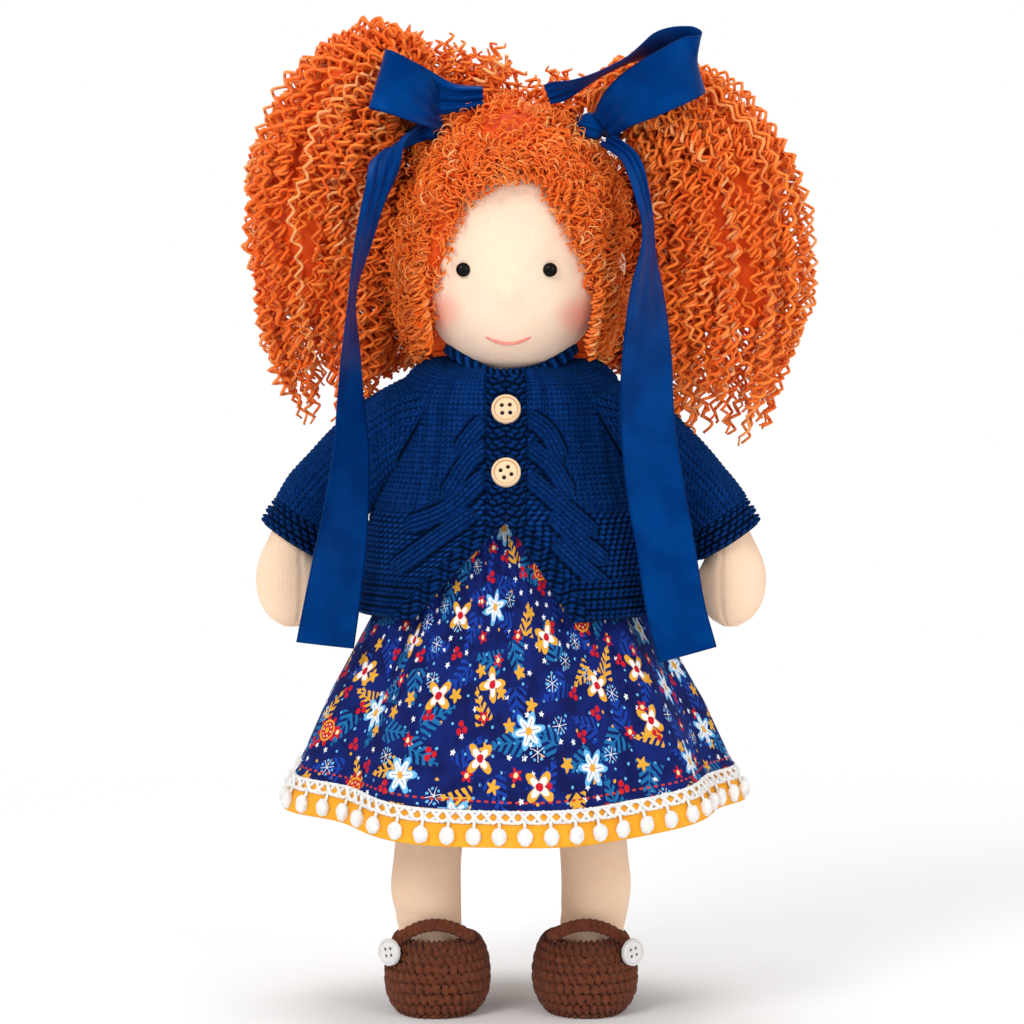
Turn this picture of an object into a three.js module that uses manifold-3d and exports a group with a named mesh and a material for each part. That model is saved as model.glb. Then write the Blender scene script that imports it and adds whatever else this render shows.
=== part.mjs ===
// A stuffed cloth doll about 30 cm tall, standing on its own shoes, in millimetres with +Z up.
// It faces -Y, and left and right are the viewer's, so left is -X.
// The origin is on the floor, midway between the shoes.
import * as THREE from 'three';
import { mergeVertices } from 'three/addons/utils/BufferGeometryUtils.js';
import Module from 'manifold-3d';

const wasm = await Module();
wasm.setup();

// Lengths of the body, stacked from the soles up
const LEG_LENGTH = 108;
const BODY_LENGTH = 97;
const NECK_LENGTH = 6;
const HEAD_HEIGHT = 79.5;
const SHOULDER_DROP = 15;

// Stuffed body
const TORSO_WIDTH = 60;
const TORSO_DEPTH = 47;
const HEAD_WIDTH = 66;
const HEAD_DEPTH = 64;
const NECK_RADIUS = 10;
const NECK_PLUG = 6.5;
const NOSE_HEIGHT = 24;
const NOSE_BUMP = 1.4;
const SEAT_ROLL_RADIUS = 15;
const SEAT_ROLL_WIDTH = 56;
const LEG_TOP_X = 19.5;
const LEG_KNEE_X = 26.5;
const LEG_SHIN_X = 28;
const ANKLE_X = 26.4;
const THIGH_RADIUS = 10.8;
const KNEE_RADIUS = 11.2;
const SHIN_RADIUS = 11.4;
const ANKLE_RADIUS = 10.4;
const LEG_SET_BACK = 1.5;
const ARM_ROOT_RADIUS = 9.2;
const WRIST_RADIUS = 8.4;
const HAND_RADIUS = 11.2;
const HAND_FLATNESS = 0.74;
const HAND_LENGTH = 17;

// Walls, cloths and yarns
const SKIN = 1.2;
const COTTON = 1.1;
const KNIT = 2.2;
const SHOE_WALL = 2.5;
const RIBBON_WIDTH = 19.5;
const RIBBON_THICKNESS = 0.8;
const HAIR_DEPTH = 8.5;

// Clearances
const GAP = 0.3;
const TURN_GAP = 0.4;
const FOLD_GAP = 1.0;
const CLOTH_EASE = 0.4;
const WOOL_EASE = 0.8;
const HAIR_EASE = 0.6;

// Cardigan
const CARDIGAN_SHOULDER = 73.2;
const CARDIGAN_HEM_WIDTH = 99.5;
const CARDIGAN_HEM_DEPTH = 83;
const CARDIGAN_LENGTH = 74;
const CARDIGAN_JOIN_DROP = 43;
const BAND_WIDTH = 6;
const BAND_PROUD = 0.9;
const NECKBAND_HEIGHT = 3.4;
const HEM_SPREAD_LEFT = 30;
const HEM_SPREAD_RIGHT = 21;
const BUTTON_LINE_X = -1.6;
const UPPER_BUTTON_DROP = 7.3;
const LOWER_BUTTON_DROP = 27.3;
const WOOD_BUTTON_DIAMETER = 9.5;
const WOOD_BUTTON_THICKNESS = 2.2;
const WOOD_HOLE_PITCH = 2.6;
const BUTTON_HOLE_RADIUS = 0.6;

// Sleeves and cuffs
const SLEEVE_TOP_RADIUS = 15;
const SLEEVE_LOW_RADIUS = 12;
const CUFF_LENGTH = 9;
const CUFF_RADIUS = 11.4;
const CUFF_LEAN = 1;
const WRIST_REACH = 34.2;
const WRIST_DROP = 37.5;

// Dress
const WAIST_DROP = 41;
const WAIST_WIDTH = 66;
const WAIST_DEPTH = 51;
const HEM_WIDTH = 139.5;
const HEM_DEPTH = 114;
const SKIRT_LENGTH = 83.5;
const SKIRT_FOLDS = 9;
const FOLD_DEPTH = 2.4;
const FRONT_DIP = 8;
const BAND_DROP = 11;
const BAND_FLARE = 4.5;
const LACE_HEIGHT = 4.6;
const LACE_THICKNESS = 1.2;
const POM_RADIUS = 2.4;
const POM_COUNT = 46;

// Shoes
const SHOE_X = 24.2;
const SHOE_LENGTH = 45;
const SHOE_WIDTH = 32.8;
const SHOE_HEIGHT = 23.2;
const SHOE_MIDDLE_Y = -5;
const SHOE_OPENING_RADIUS = 12.1;
const STRAP_RADIUS = 1.9;
const STRAP_RISE = 5.2;
const STRAP_REACH = 25.4;
const STRAP_DROP = 1.6;
const STRAP_Y = -13.2;
const SHOE_BUTTON_X = 39.4;
const SHOE_BUTTON_Y = -17.2;
const SHOE_BUTTON_Z = 20.6;
const SHOE_BUTTON_TURN = 0.72;
const WHITE_BUTTON_DIAMETER = 9;
const WHITE_BUTTON_THICKNESS = 1.5;
const WHITE_HOLE_PITCH = 2.4;

// Face
const EYE_RADIUS = 2.3;
const EYE_HEIGHT = 32.2;
const LEFT_EYE_X = -15.3;
const RIGHT_EYE_X = 12.5;
const MOUTH_HEIGHT = 8.4;
const MOUTH_WIDTH = 14.4;
const MOUTH_SAG = 2.3;
const MOUTH_X = -0.8;
const THREAD_RADIUS = 0.5;
const EAR_RADIUS = 5;

// Pigtails
const PIGTAIL_OUT = 93;
const PIGTAIL_BOTTOM = 200.5;
const PIGTAIL_TOP = 323;
const TIE_X = 28.5;
const TIE_Z = 288.5;
const TIE_RADIUS = 8;
const TIE_BORE = 4.6;
const TIE_HEIGHT = 4;

// Heights and places worked out from the sizes above
const hipZ = LEG_LENGTH;
const neckBaseZ = hipZ + BODY_LENGTH;
const shoulderZ = neckBaseZ - SHOULDER_DROP;
const chinZ = neckBaseZ + NECK_LENGTH;
const neckPlugZ = neckBaseZ - NECK_PLUG;
const torsoBottomZ = hipZ + THIGH_RADIUS + FOLD_GAP;
const rollCut = SEAT_ROLL_RADIUS + TURN_GAP;
const armRootX = TORSO_WIDTH / 2 + GAP;
const armholeX = CARDIGAN_SHOULDER / 2 + TURN_GAP;
const waistZ = neckBaseZ - WAIST_DROP;
const skirtHemZ = waistZ - SKIRT_LENGTH;
const cardiganTopZ = chinZ - CLOTH_EASE - COTTON;
const cardiganHemZ = neckBaseZ - CARDIGAN_LENGTH;
const cardiganJoinZ = neckBaseZ - CARDIGAN_JOIN_DROP;

const doll = new THREE.Group();

function material(color, roughness, metalness = 0) {
  return new THREE.MeshStandardMaterial({ color, roughness, metalness });
}

const finishes = {
  skin: () => material(0xf5d9bc, 0.9),
  wool: () => material(0xe9e2d2, 1),
  eye: () => material(0x0b0a0a, 0.15),
  pink: () => material(0xe08a86, 0.8),
  hair: () => material(0xdb5a1a, 0.85),
  ribbon: () => material(0x0a3a7a, 0.35),
  knit: () => material(0x0f2c63, 0.95),
  print: () => material(0x10387d, 0.85),
  mustard: () => material(0xf2a92e, 0.85),
  lace: () => material(0xf6f4f0, 0.9),
  wood: () => material(0xe6c193, 0.55),
  crochet: () => material(0x5f3020, 0.95),
  white: () => material(0xe9e7e4, 0.3),
  thread: () => material(0x17305e, 0.9),
};

function add(name, geometry, finish, group = doll) {
  const mesh = new THREE.Mesh(geometry, finishes[finish]());
  mesh.name = name;
  group.add(mesh);
  return mesh;
}

// Closed bodies from lists of points and triangles, turned so that the faces point out
function bodyGeometry(points, triangles) {
  let volume = 0;
  for (const [a, b, c] of triangles) {
    const [p, q, r] = [points[a], points[b], points[c]];
    volume += p[0] * (q[1] * r[2] - q[2] * r[1]);
    volume += p[1] * (q[2] * r[0] - q[0] * r[2]);
    volume += p[2] * (q[0] * r[1] - q[1] * r[0]);
  }
  const outward = volume > 0 ? triangles : triangles.map(([a, b, c]) => [a, c, b]);
  const geometry = new THREE.BufferGeometry();
  geometry.setAttribute('position', new THREE.Float32BufferAttribute(points.flat(), 3));
  geometry.setIndex(outward.flat());
  return geometry;
}

function ringBand(start, next, count) {
  const triangles = [];
  for (let i = 0; i < count; i += 1) {
    const j = (i + 1) % count;
    triangles.push([start + i, start + j, next + j], [start + i, next + j, next + i]);
  }
  return triangles;
}

// A skin over a row of rings, each end closed by a fan around its middle
function loft(rings) {
  const count = rings[0].length;
  const points = rings.flat();
  const triangles = [];
  for (let k = 0; k + 1 < rings.length; k += 1) {
    triangles.push(...ringBand(k * count, (k + 1) * count, count));
  }
  const middle = (ring) => [0, 1, 2].map((axis) => ring.reduce((sum, p) => sum + p[axis], 0) / count);
  const first = points.push(middle(rings[0])) - 1;
  const last = points.push(middle(rings[rings.length - 1])) - 1;
  const top = (rings.length - 1) * count;
  for (let i = 0; i < count; i += 1) {
    const j = (i + 1) % count;
    triangles.push([first, j, i], [last, top + i, top + j]);
  }
  return bodyGeometry(points, triangles);
}

// A tube wall: the rings outside and the rings inside, joined at both open ends. Both sides split
// their quads along the same diagonal, so that a thin wall never crosses itself
function tubeWall(outer, inner) {
  const count = outer[0].length;
  const inside = outer.length * count;
  const last = inside - count;
  const turned = (triangles) => triangles.map(([a, b, c]) => [a, c, b]);
  const triangles = [...ringBand(last, inside + last, count), ...turned(ringBand(0, inside, count))];
  for (let at = 0; at < last; at += count) {
    triangles.push(...ringBand(at, at + count, count));
    triangles.push(...turned(ringBand(inside + at, inside + at + count, count)));
  }
  return bodyGeometry([...outer, ...inner].flat(), triangles);
}

// A sheet with thickness: two grids of points, row by row, joined around their edges
function slab(front, back) {
  const rows = front.length;
  const columns = front[0].length;
  const points = [...front.flat(), ...back.flat()];
  const shift = rows * columns;
  const triangles = [];
  for (let r = 0; r + 1 < rows; r += 1) {
    for (let c = 0; c + 1 < columns; c += 1) {
      const a = r * columns + c;
      const b = a + columns;
      triangles.push([a, a + 1, b + 1], [a, b + 1, b]);
      triangles.push([shift + a, shift + b + 1, shift + a + 1], [shift + a, shift + b, shift + b + 1]);
    }
  }
  const edge = [];
  for (let c = 0; c < columns; c += 1) edge.push(c);
  for (let r = 1; r < rows; r += 1) edge.push(r * columns + columns - 1);
  for (let c = columns - 2; c >= 0; c -= 1) edge.push((rows - 1) * columns + c);
  for (let r = rows - 2; r > 0; r -= 1) edge.push(r * columns);
  edge.forEach((a, i) => {
    const b = edge[(i + 1) % edge.length];
    triangles.push([a, shift + a, shift + b], [a, shift + b, b]);
  });
  return bodyGeometry(points, triangles);
}

// Joining and cutting of closed bodies
function toSolid(geometry) {
  const bare = geometry.clone();
  bare.deleteAttribute('normal');
  bare.deleteAttribute('uv');
  const merged = mergeVertices(bare, 1e-4);
  return new wasm.Manifold(new wasm.Mesh({
    numProp: 3,
    vertProperties: new Float32Array(merged.attributes.position.array),
    triVerts: new Uint32Array(merged.index.array),
  }));
}

function toGeometry(solid) {
  const mesh = solid.getMesh();
  const geometry = new THREE.BufferGeometry();
  geometry.setAttribute('position', new THREE.BufferAttribute(new Float32Array(mesh.vertProperties), 3));
  geometry.setIndex(new THREE.BufferAttribute(new Uint32Array(mesh.triVerts), 1));
  return geometry;
}

function cut(geometry, ...cutters) {
  let solid = toSolid(geometry);
  for (const cutter of cutters) solid = solid.subtract(toSolid(cutter));
  return toGeometry(solid);
}

function join(geometry, more) {
  return toGeometry(toSolid(geometry).add(toSolid(more)));
}

function keep(geometry, region) {
  return toGeometry(toSolid(geometry).intersect(toSolid(region)));
}

function box(x0, x1, y0, y1, z0, z1) {
  const geometry = new THREE.BoxGeometry(x1 - x0, y1 - y0, z1 - z0);
  return geometry.translate((x0 + x1) / 2, (y0 + y1) / 2, (z0 + z1) / 2);
}

function rodAlongX(radius, x0, x1, z, sides = 32) {
  const geometry = new THREE.CylinderGeometry(radius, radius, x1 - x0, sides);
  return geometry.rotateZ(Math.PI / 2).translate((x0 + x1) / 2, 0, z);
}

// A level ring: an ellipse whose corners fill out as the power rises above 2
function levelRing(z, halfWidth, halfDepth, sides, middle = [0, 0], power = 2) {
  const ring = [];
  for (let i = 0; i < sides; i += 1) {
    const angle = (2 * Math.PI * i) / sides - Math.PI / 2;
    const c = Math.cos(angle);
    const s = Math.sin(angle);
    const x = Math.sign(c) * Math.abs(c) ** (2 / power);
    const y = Math.sign(s) * Math.abs(s) ** (2 / power);
    ring.push([middle[0] + halfWidth * x, middle[1] + halfDepth * y, z]);
  }
  return ring;
}

// Moves each row of a profile, [z, half width, half depth], outwards at right angles to its slope
function offsetProfile(rows, distance) {
  return rows.map((row, i) => {
    const below = rows[Math.max(i - 1, 0)];
    const above = rows[Math.min(i + 1, rows.length - 1)];
    const run = (above[1] + above[2] - below[1] - below[2]) / 2;
    const rise = above[0] - below[0];
    const length = Math.hypot(run, rise);
    const out = (distance * rise) / length;
    return [row[0] - (distance * run) / length, row[1] + out, row[2] + out];
  });
}

function profileRings(rows, sides, power = 2) {
  return rows.map(([z, a, b]) => levelRing(z, a, b, sides, [0, 0], power));
}

// Half width and half depth of a profile at a height
function profileAt(rows, z) {
  let k = 0;
  while (k + 2 < rows.length && rows[k + 1][0] < z) k += 1;
  const t = Math.min(Math.max((z - rows[k][0]) / (rows[k + 1][0] - rows[k][0]), 0), 1);
  return [1, 2].map((i) => rows[k][i] + t * (rows[k + 1][i] - rows[k][i]));
}

// Rings of a limb or sleeve that leaves the shoulder along X and leans down: each station is
// [x, y, z, lean, half width, half depth], and at a lean of 0 its ring is square to X
function leaningRings(sign, stations, sides) {
  return stations.map(([x, y, z, lean, wide, deep]) => {
    const ring = [];
    for (let s = 0; s < sides; s += 1) {
      const angle = (2 * Math.PI * s) / sides;
      const u = wide * Math.cos(angle);
      ring.push([sign * (x + Math.sin(lean) * u), y + deep * Math.sin(angle), z + Math.cos(lean) * u]);
    }
    return ring;
  });
}

// Head: a skin over a wool core, open at the neck, turning on the neck as a round plug
const headShape = [
  [0, 0.55], [0.05, 0.79], [0.16, 0.93], [0.3, 0.99], [0.5, 1],
  [0.68, 0.92], [0.83, 0.73], [0.94, 0.44], [1, 0.06],
];
const headProfile = headShape.map(([t, f]) => [
  chinZ + t * HEAD_HEIGHT, (f * HEAD_WIDTH) / 2, (f * HEAD_DEPTH) / 2,
]);

function headSolid(distance, neckBottom, sides = 20) {
  const rows = offsetProfile(headProfile, distance);
  const neck = NECK_RADIUS + distance;
  const rings = [levelRing(neckBottom, neck, neck, sides), levelRing(rows[0][0], neck, neck, sides)];
  rings.push(...profileRings(rows, sides));
  const noseZ = chinZ + NOSE_HEIGHT;
  for (const ring of rings) {
    const near = Math.exp(-(((ring[0][2] - noseZ) / (HEAD_HEIGHT * 0.08)) ** 2));
    ring[0][1] -= NOSE_BUMP * near;
  }
  return loft(rings);
}

const overHead = headSolid(GAP, neckPlugZ - GAP);
add('head_skin', cut(headSolid(0, neckPlugZ), headSolid(-SKIN, neckPlugZ - 1)), 'skin');
add('head_wool_core', headSolid(-SKIN - WOOL_EASE, neckPlugZ, 12), 'wool');

function headSurfaceY(x, z) {
  const [a, b] = profileAt(headProfile, z);
  return -b * Math.sqrt(Math.max(1 - (x / a) ** 2, 0));
}

for (const [name, x] of [['eye_left', LEFT_EYE_X], ['eye_right', RIGHT_EYE_X]]) {
  const z = chinZ + EYE_HEIGHT;
  const eye = new THREE.SphereGeometry(EYE_RADIUS, 10, 8);
  add(name, cut(eye.translate(x, headSurfaceY(x, z) - GAP, z), overHead), 'eye');
}

// The mouth is one line of thread that sags in the middle
const mouthPoints = [-1, -0.6, -0.2, 0.2, 0.6, 1].map((t) => {
  const x = MOUTH_X + (t * MOUTH_WIDTH) / 2;
  const z = chinZ + MOUTH_HEIGHT + MOUTH_SAG * t * t;
  return [x, headSurfaceY(x, z) - GAP, z, THREAD_RADIUS];
});
function crosswiseTube(path, sides) {
  return loft(path.map(([x, y, z, radius]) => {
    const ring = [];
    for (let s = 0; s < sides; s += 1) {
      const angle = (2 * Math.PI * s) / sides;
      ring.push([x, y + radius * Math.cos(angle), z + radius * Math.sin(angle)]);
    }
    return ring;
  }));
}
add('mouth_thread', cut(crosswiseTube(mouthPoints, 6), overHead), 'pink');

// Hair cap: a thick shell over the head, cut back to the hairline around the face
const hairlinePoints = [
  [-44, -30], [-44, 6], [-29, 10], [-26, 22.7], [-22.5, 36.7], [-18.2, 49.2], [-11.5, 58],
  [-3.5, 62.9], [4, 62.6], [9.3, 61.3], [14.8, 54.5], [20.2, 44.4], [24.4, 34.1],
  [29, 20.7], [31, 10], [44, 6], [44, -30],
];
const hairline = new THREE.Shape(hairlinePoints.map(([x, z]) => new THREE.Vector2(x, z)));
const faceWindow = new THREE.ExtrudeGeometry(hairline, { depth: HEAD_DEPTH, bevelEnabled: false });
faceWindow.rotateX(Math.PI / 2).translate(0, -HEAD_DEPTH / 8, chinZ);
const earY = -HEAD_DEPTH * 0.14;
const earZ = chinZ + EYE_HEIGHT + 0.8;
function earGeometry(sign, swell) {
  const ear = new THREE.SphereGeometry(1, 8, 6);
  ear.scale(EAR_RADIUS * 0.6 + swell, EAR_RADIUS * 0.5 + swell, EAR_RADIUS + swell);
  return ear.translate(sign * (HEAD_WIDTH / 2 + EAR_RADIUS * 0.3), earY, earZ);
}
const notchReach = EAR_RADIUS * 1.2;
const notchIn = HEAD_WIDTH * 0.45;
const notchOut = HEAD_WIDTH * 0.575;
const earNotch = box(notchIn, notchOut, -HEAD_DEPTH, earY, earZ - notchReach, earZ + notchReach);
const capSolid = cut(
  headSolid(HAIR_DEPTH, chinZ - 20),
  overHead,
  faceWindow,
  earNotch,
  box(-HEAD_WIDTH, HEAD_WIDTH, -HEAD_DEPTH, HEAD_DEPTH, 0, chinZ + GAP * 2),
  earGeometry(-1, GAP),
  earGeometry(1, GAP),
);
add('hair_cap', capSolid, 'hair');
add('ear_left', cut(earGeometry(-1, 0), overHead), 'skin');
add('ear_right', cut(earGeometry(1, 0), overHead), 'skin');

// Puts a station between each two of a ribbon, on a smooth curve through its neighbours
function refined(stations) {
  const between = (at, part) => [0, 1, 2].map((axis) => {
    const value = (i) => stations[Math.min(Math.max(i, 0), stations.length - 1)][part][axis];
    return (9 * (value(at) + value(at + 1)) - value(at - 1) - value(at + 2)) / 16;
  });
  return stations.flatMap((station, i) => {
    if (i + 1 === stations.length) return [station];
    return [station, [between(i, 0), between(i, 1), (station[2] + stations[i + 1][2]) / 2]];
  });
}

// Ribbons: a strip that follows [centre, direction of its width, width] from end to end
function ribbon(given, swell = 0) {
  const stations = refined(given);
  const rows = stations.map(([centre, wide, width], i) => {
    const before = new THREE.Vector3(...stations[Math.max(i - 1, 0)][0]);
    const after = new THREE.Vector3(...stations[Math.min(i + 1, stations.length - 1)][0]);
    const along = after.sub(before).normalize();
    const across = new THREE.Vector3(...wide);
    across.addScaledVector(along, -across.dot(along)).normalize();
    const face = new THREE.Vector3().crossVectors(along, across);
    const u = width / 2 + swell;
    const v = RIBBON_THICKNESS / 2 + swell;
    const corner = (p, q) => [0, 1, 2].map((axis) => (
      centre[axis] + p * across.getComponent(axis) + q * face.getComponent(axis)
    ));
    return { front: [corner(u, v), corner(-u, v)], back: [corner(u, -v), corner(-u, -v)] };
  });
  return slab(rows.map((row) => row.front), rows.map((row) => row.back));
}

const tieY = 1;
const full = RIBBON_WIDTH;
const leftLoop = [
  [[-23, -13, 292], [0, 0.3, 1], full * 0.5],
  [[-27, -19, 296], [0.15, 0.2, 1], full * 0.75],
  [[-34, -23, 300.5], [0.25, 0.1, 1], full * 0.92],
  [[-40.5, -22.5, 303.6], [0.3, 0, 1], full],
  [[-42.8, -19.5, 304], [0.3, 0, 1], full],
  [[-39.5, -16.3, 303], [0.3, 0, 1], full],
  [[-30, -14.4, 300], [0.2, 0, 1], full * 0.85],
  [[-19, -12, 298], [0.1, 0, 1], full * 0.5],
  [[-9, -10.5, 298.5], [0, 0, 1], full * 0.35],
];
const rightLoop = [
  [[29.5, -13, 289], [-0.7, 0.2, 0.7], full * 0.5],
  [[36, -19, 296], [-0.45, 0.2, 0.9], full * 0.8],
  [[46, -23.5, 301.8], [-0.35, 0, 0.94], full * 0.95],
  [[56, -22, 307], [-0.2, 0, 1], full],
  [[59.8, -18, 309.5], [-0.1, 0, 1], full],
  [[56, -14.2, 312.5], [0.1, -0.45, 0.9], full],
  [[46, -14, 314], [0.3, -0.85, 0.5], full],
  [[33, -14.6, 308], [0.45, -0.85, 0.3], full * 0.9],
  [[20, -13.6, 302], [0.45, -0.8, 0.45], full * 0.7],
  [[11.5, -12.4, 299.5], [0.4, -0.5, 0.7], full * 0.4],
];
const leftTail = [
  [[-26.6, -11.4, 287.8], [0.7, 0.1, 0.7], full * 0.25],
  [[-31.5, -15, 285.8], [0.7, 0.1, 0.7], full * 0.38],
  [[-39.5, -22.5, 280.5], [0.8, 0, 0.6], full * 0.6],
  [[-41.5, -29.5, 268.5], [1, 0.4, 0.1], full * 0.66],
  [[-46, -32, 252], [0.8, 0.7, 0], full * 0.8],
  [[-50, -33, 235.5], [0.35, 1, 0], full * 0.9],
  [[-50.2, -33.5, 217], [0.38, 1, 0], full],
  [[-50.6, -33, 200], [0.45, 1, 0], full],
  [[-51, -32.5, 185.5], [0.6, 0.9, 0], full],
  [[-53, -32, 165], [0.75, 0.7, 0], full],
  [[-56, -31, 145], [0.9, 0.5, 0], full],
  [[-59.8, -30, 122.5], [1, 0.3, 0.25], full],
];
const rightTail = [
  [[31, -14, 285], [1, 0, 0.3], full * 0.3],
  [[38, -22.5, 278.6], [1, 0.2, 0.2], full * 0.42],
  [[42.5, -30, 266], [0.9, 0.8, 0], full * 0.6],
  [[45.2, -33, 254], [0.5, 1, 0], full * 0.8],
  [[43.2, -34, 235.5], [0.7, 0.8, 0], full * 0.9],
  [[43.4, -33.6, 215], [0.9, 0.6, 0], full],
  [[43.6, -33, 197], [1, 0.5, 0], full],
  [[46, -32.4, 175], [1, 0.3, 0], full],
  [[49.2, -31.6, 157], [1, 0.25, 0], full],
  [[52.8, -31, 135], [1, 0.2, 0.05], full],
  [[56.8, -30.5, 119.5], [1, 0.1, -0.42], full],
];

function knot(sign, swell = 0) {
  const blob = new THREE.SphereGeometry(1, 8, 6).scale(4.2 + swell, 2.6 + swell, 4.4 + swell);
  return blob.translate(sign * (TIE_X - 2.5), tieY - TIE_RADIUS - GAP - 2.6, TIE_Z + 0.5);
}

// A pigtail is a mass of curls that stands over its tie, swells beside the cheek and hangs to a point:
// level rings of [share of the height from the tip up, middle x, half width, middle y, half depth]
const PIGTAIL_SIDES = 12;
const pigtailShape = [
  [0, 59, 4, 9, 5],
  [0.09, 60, 15, 9, 18],
  [0.22, 62, 23, 9, 26],
  [0.4, PIGTAIL_OUT - 28.5, 28.5, 8, 29],
  [0.57, PIGTAIL_OUT - 31, 29, 8, 28.5],
  [0.74, 54.5, 27, 8, 25],
  [0.87, 42.5, 23.5, 9, 18.5],
  [0.96, 35, 15, 9, 12],
  [1, 32, 4, 9, 4],
];
function pigtail(sign) {
  return loft(pigtailShape.map(([t, x, halfWidth, y, halfDepth]) => levelRing(
    PIGTAIL_BOTTOM + t * (PIGTAIL_TOP - PIGTAIL_BOTTOM), halfWidth, halfDepth, PIGTAIL_SIDES, [sign * x, y],
  )));
}

const overCap = headSolid(HAIR_DEPTH + GAP, chinZ - 20);
const bows = [['left', -1, leftLoop, leftTail], ['right', 1, rightLoop, rightTail]];
for (const [side, sign, loop, tail] of bows) {
  const disc = (radius, height) => {
    const geometry = new THREE.CylinderGeometry(radius, radius, height, 12).rotateX(Math.PI / 2);
    return geometry.rotateY(sign * 0.42).translate(sign * TIE_X, tieY, TIE_Z);
  };
  const tieSpace = disc(TIE_RADIUS + GAP, TIE_HEIGHT + 2 * GAP);
  const hank = join(cut(pigtail(sign), tieSpace), disc(TIE_BORE - GAP, TIE_HEIGHT * 2));
  const ribbonSpace = [ribbon(loop, HAIR_EASE), ribbon(tail, HAIR_EASE), knot(sign, HAIR_EASE)];
  add(`pigtail_${side}`, cut(hank, overCap, ...ribbonSpace), 'hair');
  const tie = cut(disc(TIE_RADIUS, TIE_HEIGHT), disc(TIE_BORE, TIE_HEIGHT * 3), overCap);
  add(`hair_tie_${side}`, tie, 'thread');
  add(`ribbon_${side}_knot`, cut(knot(sign), overCap, tieSpace), 'ribbon');
  add(`ribbon_${side}_bow`, cut(ribbon(loop), knot(sign, GAP), overCap), 'ribbon');
  add(`ribbon_${side}_tail`, cut(ribbon(tail), knot(sign, GAP), ribbon(loop, GAP), overCap), 'ribbon');
}

// Torso: skin over wool, grooved below for the seat roll and open above for the neck
const torsoShape = [
  [0, 0.8, 0.8], [0.07, 0.95, 0.94], [0.25, 1, 1], [0.55, 1, 0.97],
  [0.78, 1, 0.86], [0.88, 0.985, 0.72], [0.955, 0.72, 0.56],
];
const torsoProfile = torsoShape.map(([t, w, d]) => [
  torsoBottomZ + t * (neckBaseZ - torsoBottomZ), (w * TORSO_WIDTH) / 2, (d * TORSO_DEPTH) / 2,
]);
const socket = NECK_RADIUS + TURN_GAP;
const TORSO_SIDES = 16;

function torsoSolid(distance, neck, sides = TORSO_SIDES) {
  const rows = offsetProfile(torsoProfile, -distance);
  rows[0][0] = torsoBottomZ + distance;
  const rings = profileRings(rows, sides);
  rings.push(levelRing(neckBaseZ - distance, neck, neck, sides));
  return cut(loft(rings), rodAlongX(rollCut + distance, -TORSO_WIDTH, TORSO_WIDTH, hipZ));
}
const neckHole = new THREE.CylinderGeometry(socket, socket, 30, TORSO_SIDES);
neckHole.rotateX(Math.PI / 2).rotateZ(Math.PI / 2).translate(0, 0, neckPlugZ - GAP + 15);
add('torso_skin', cut(torsoSolid(0, socket + SKIN), torsoSolid(SKIN, socket), neckHole), 'skin');
const coreTop = box(-TORSO_WIDTH, TORSO_WIDTH, -TORSO_DEPTH, TORSO_DEPTH, 0, neckPlugZ - GAP);
add('torso_wool_core', keep(torsoSolid(SKIN + WOOL_EASE, socket, 12), coreTop), 'wool');

// Seat roll: the lower body that turns under the torso when the doll sits
const rollRows = [
  [0, 0.35], [0.03, 0.72], [0.1, 0.93], [0.22, 1], [0.78, 1], [0.9, 0.93], [0.97, 0.72], [1, 0.35],
];
add('seat_roll', loft(rollRows.map(([t, f]) => {
  const ring = [];
  for (let s = 0; s < 20; s += 1) {
    const angle = (2 * Math.PI * s) / 20;
    const r = f * SEAT_ROLL_RADIUS;
    ring.push([(t - 0.5) * SEAT_ROLL_WIDTH, r * Math.cos(angle), hipZ + r * Math.sin(angle)]);
  }
  return ring;
})), 'skin');

// Shoes: level rings whose middle moves back as they rise, and a foot of the same form inside
const shoeShape = [
  [0, 0, 0.78, 0.86], [0.07, 0, 0.91, 0.95], [0.25, 0, 0.99, 1], [0.5, 0.1, 1, 0.98],
  [0.75, 1.5, 0.98, 0.86], [1, 4, 0.9, 0.66],
];
const footShape = [shoeShape[0], shoeShape[2], shoeShape[4], shoeShape[5]];
const SHOE_POWER = 2.5;

function shoeSolid(sign, inset, topZ, shape = shoeShape, sides = 16) {
  return loft(shape.map(([t, back, w, l]) => levelRing(
    inset + t * (topZ - inset),
    (w * SHOE_WIDTH) / 2 - inset,
    (l * SHOE_LENGTH) / 2 - inset,
    sides,
    [sign * SHOE_X, SHOE_MIDDLE_Y + back],
    SHOE_POWER,
  )));
}

// Legs and feet: the leg leans out from the hip, and its top is cut to turn under the seat roll
const footTopZ = SHOE_HEIGHT * 0.8;
function legSolid(sign, shrink, top, sides = 12) {
  const path = [
    [ANKLE_X, LEG_SET_BACK, footTopZ * 0.45, ANKLE_RADIUS],
    [ANKLE_X, LEG_SET_BACK, SHOE_HEIGHT, ANKLE_RADIUS],
    [LEG_SHIN_X, LEG_SET_BACK, SHOE_HEIGHT + 15, SHIN_RADIUS],
    [LEG_KNEE_X, LEG_SET_BACK, hipZ * 0.55, KNEE_RADIUS],
    [LEG_TOP_X, 0, top, THIGH_RADIUS],
  ];
  return loft(path.map(([x, y, z, radius]) => (
    levelRing(z, radius - shrink, radius - shrink, sides, [sign * x, y])
  )));
}

function footAndLeg(sign, distance, top, sides = 12) {
  const foot = shoeSolid(sign, SHOE_WALL + GAP + distance, footTopZ - distance, footShape, sides + 4);
  return join(legSolid(sign, distance, top, sides), foot);
}
const rollSpace = () => rodAlongX(rollCut, -TORSO_WIDTH, TORSO_WIDTH, hipZ);

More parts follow.
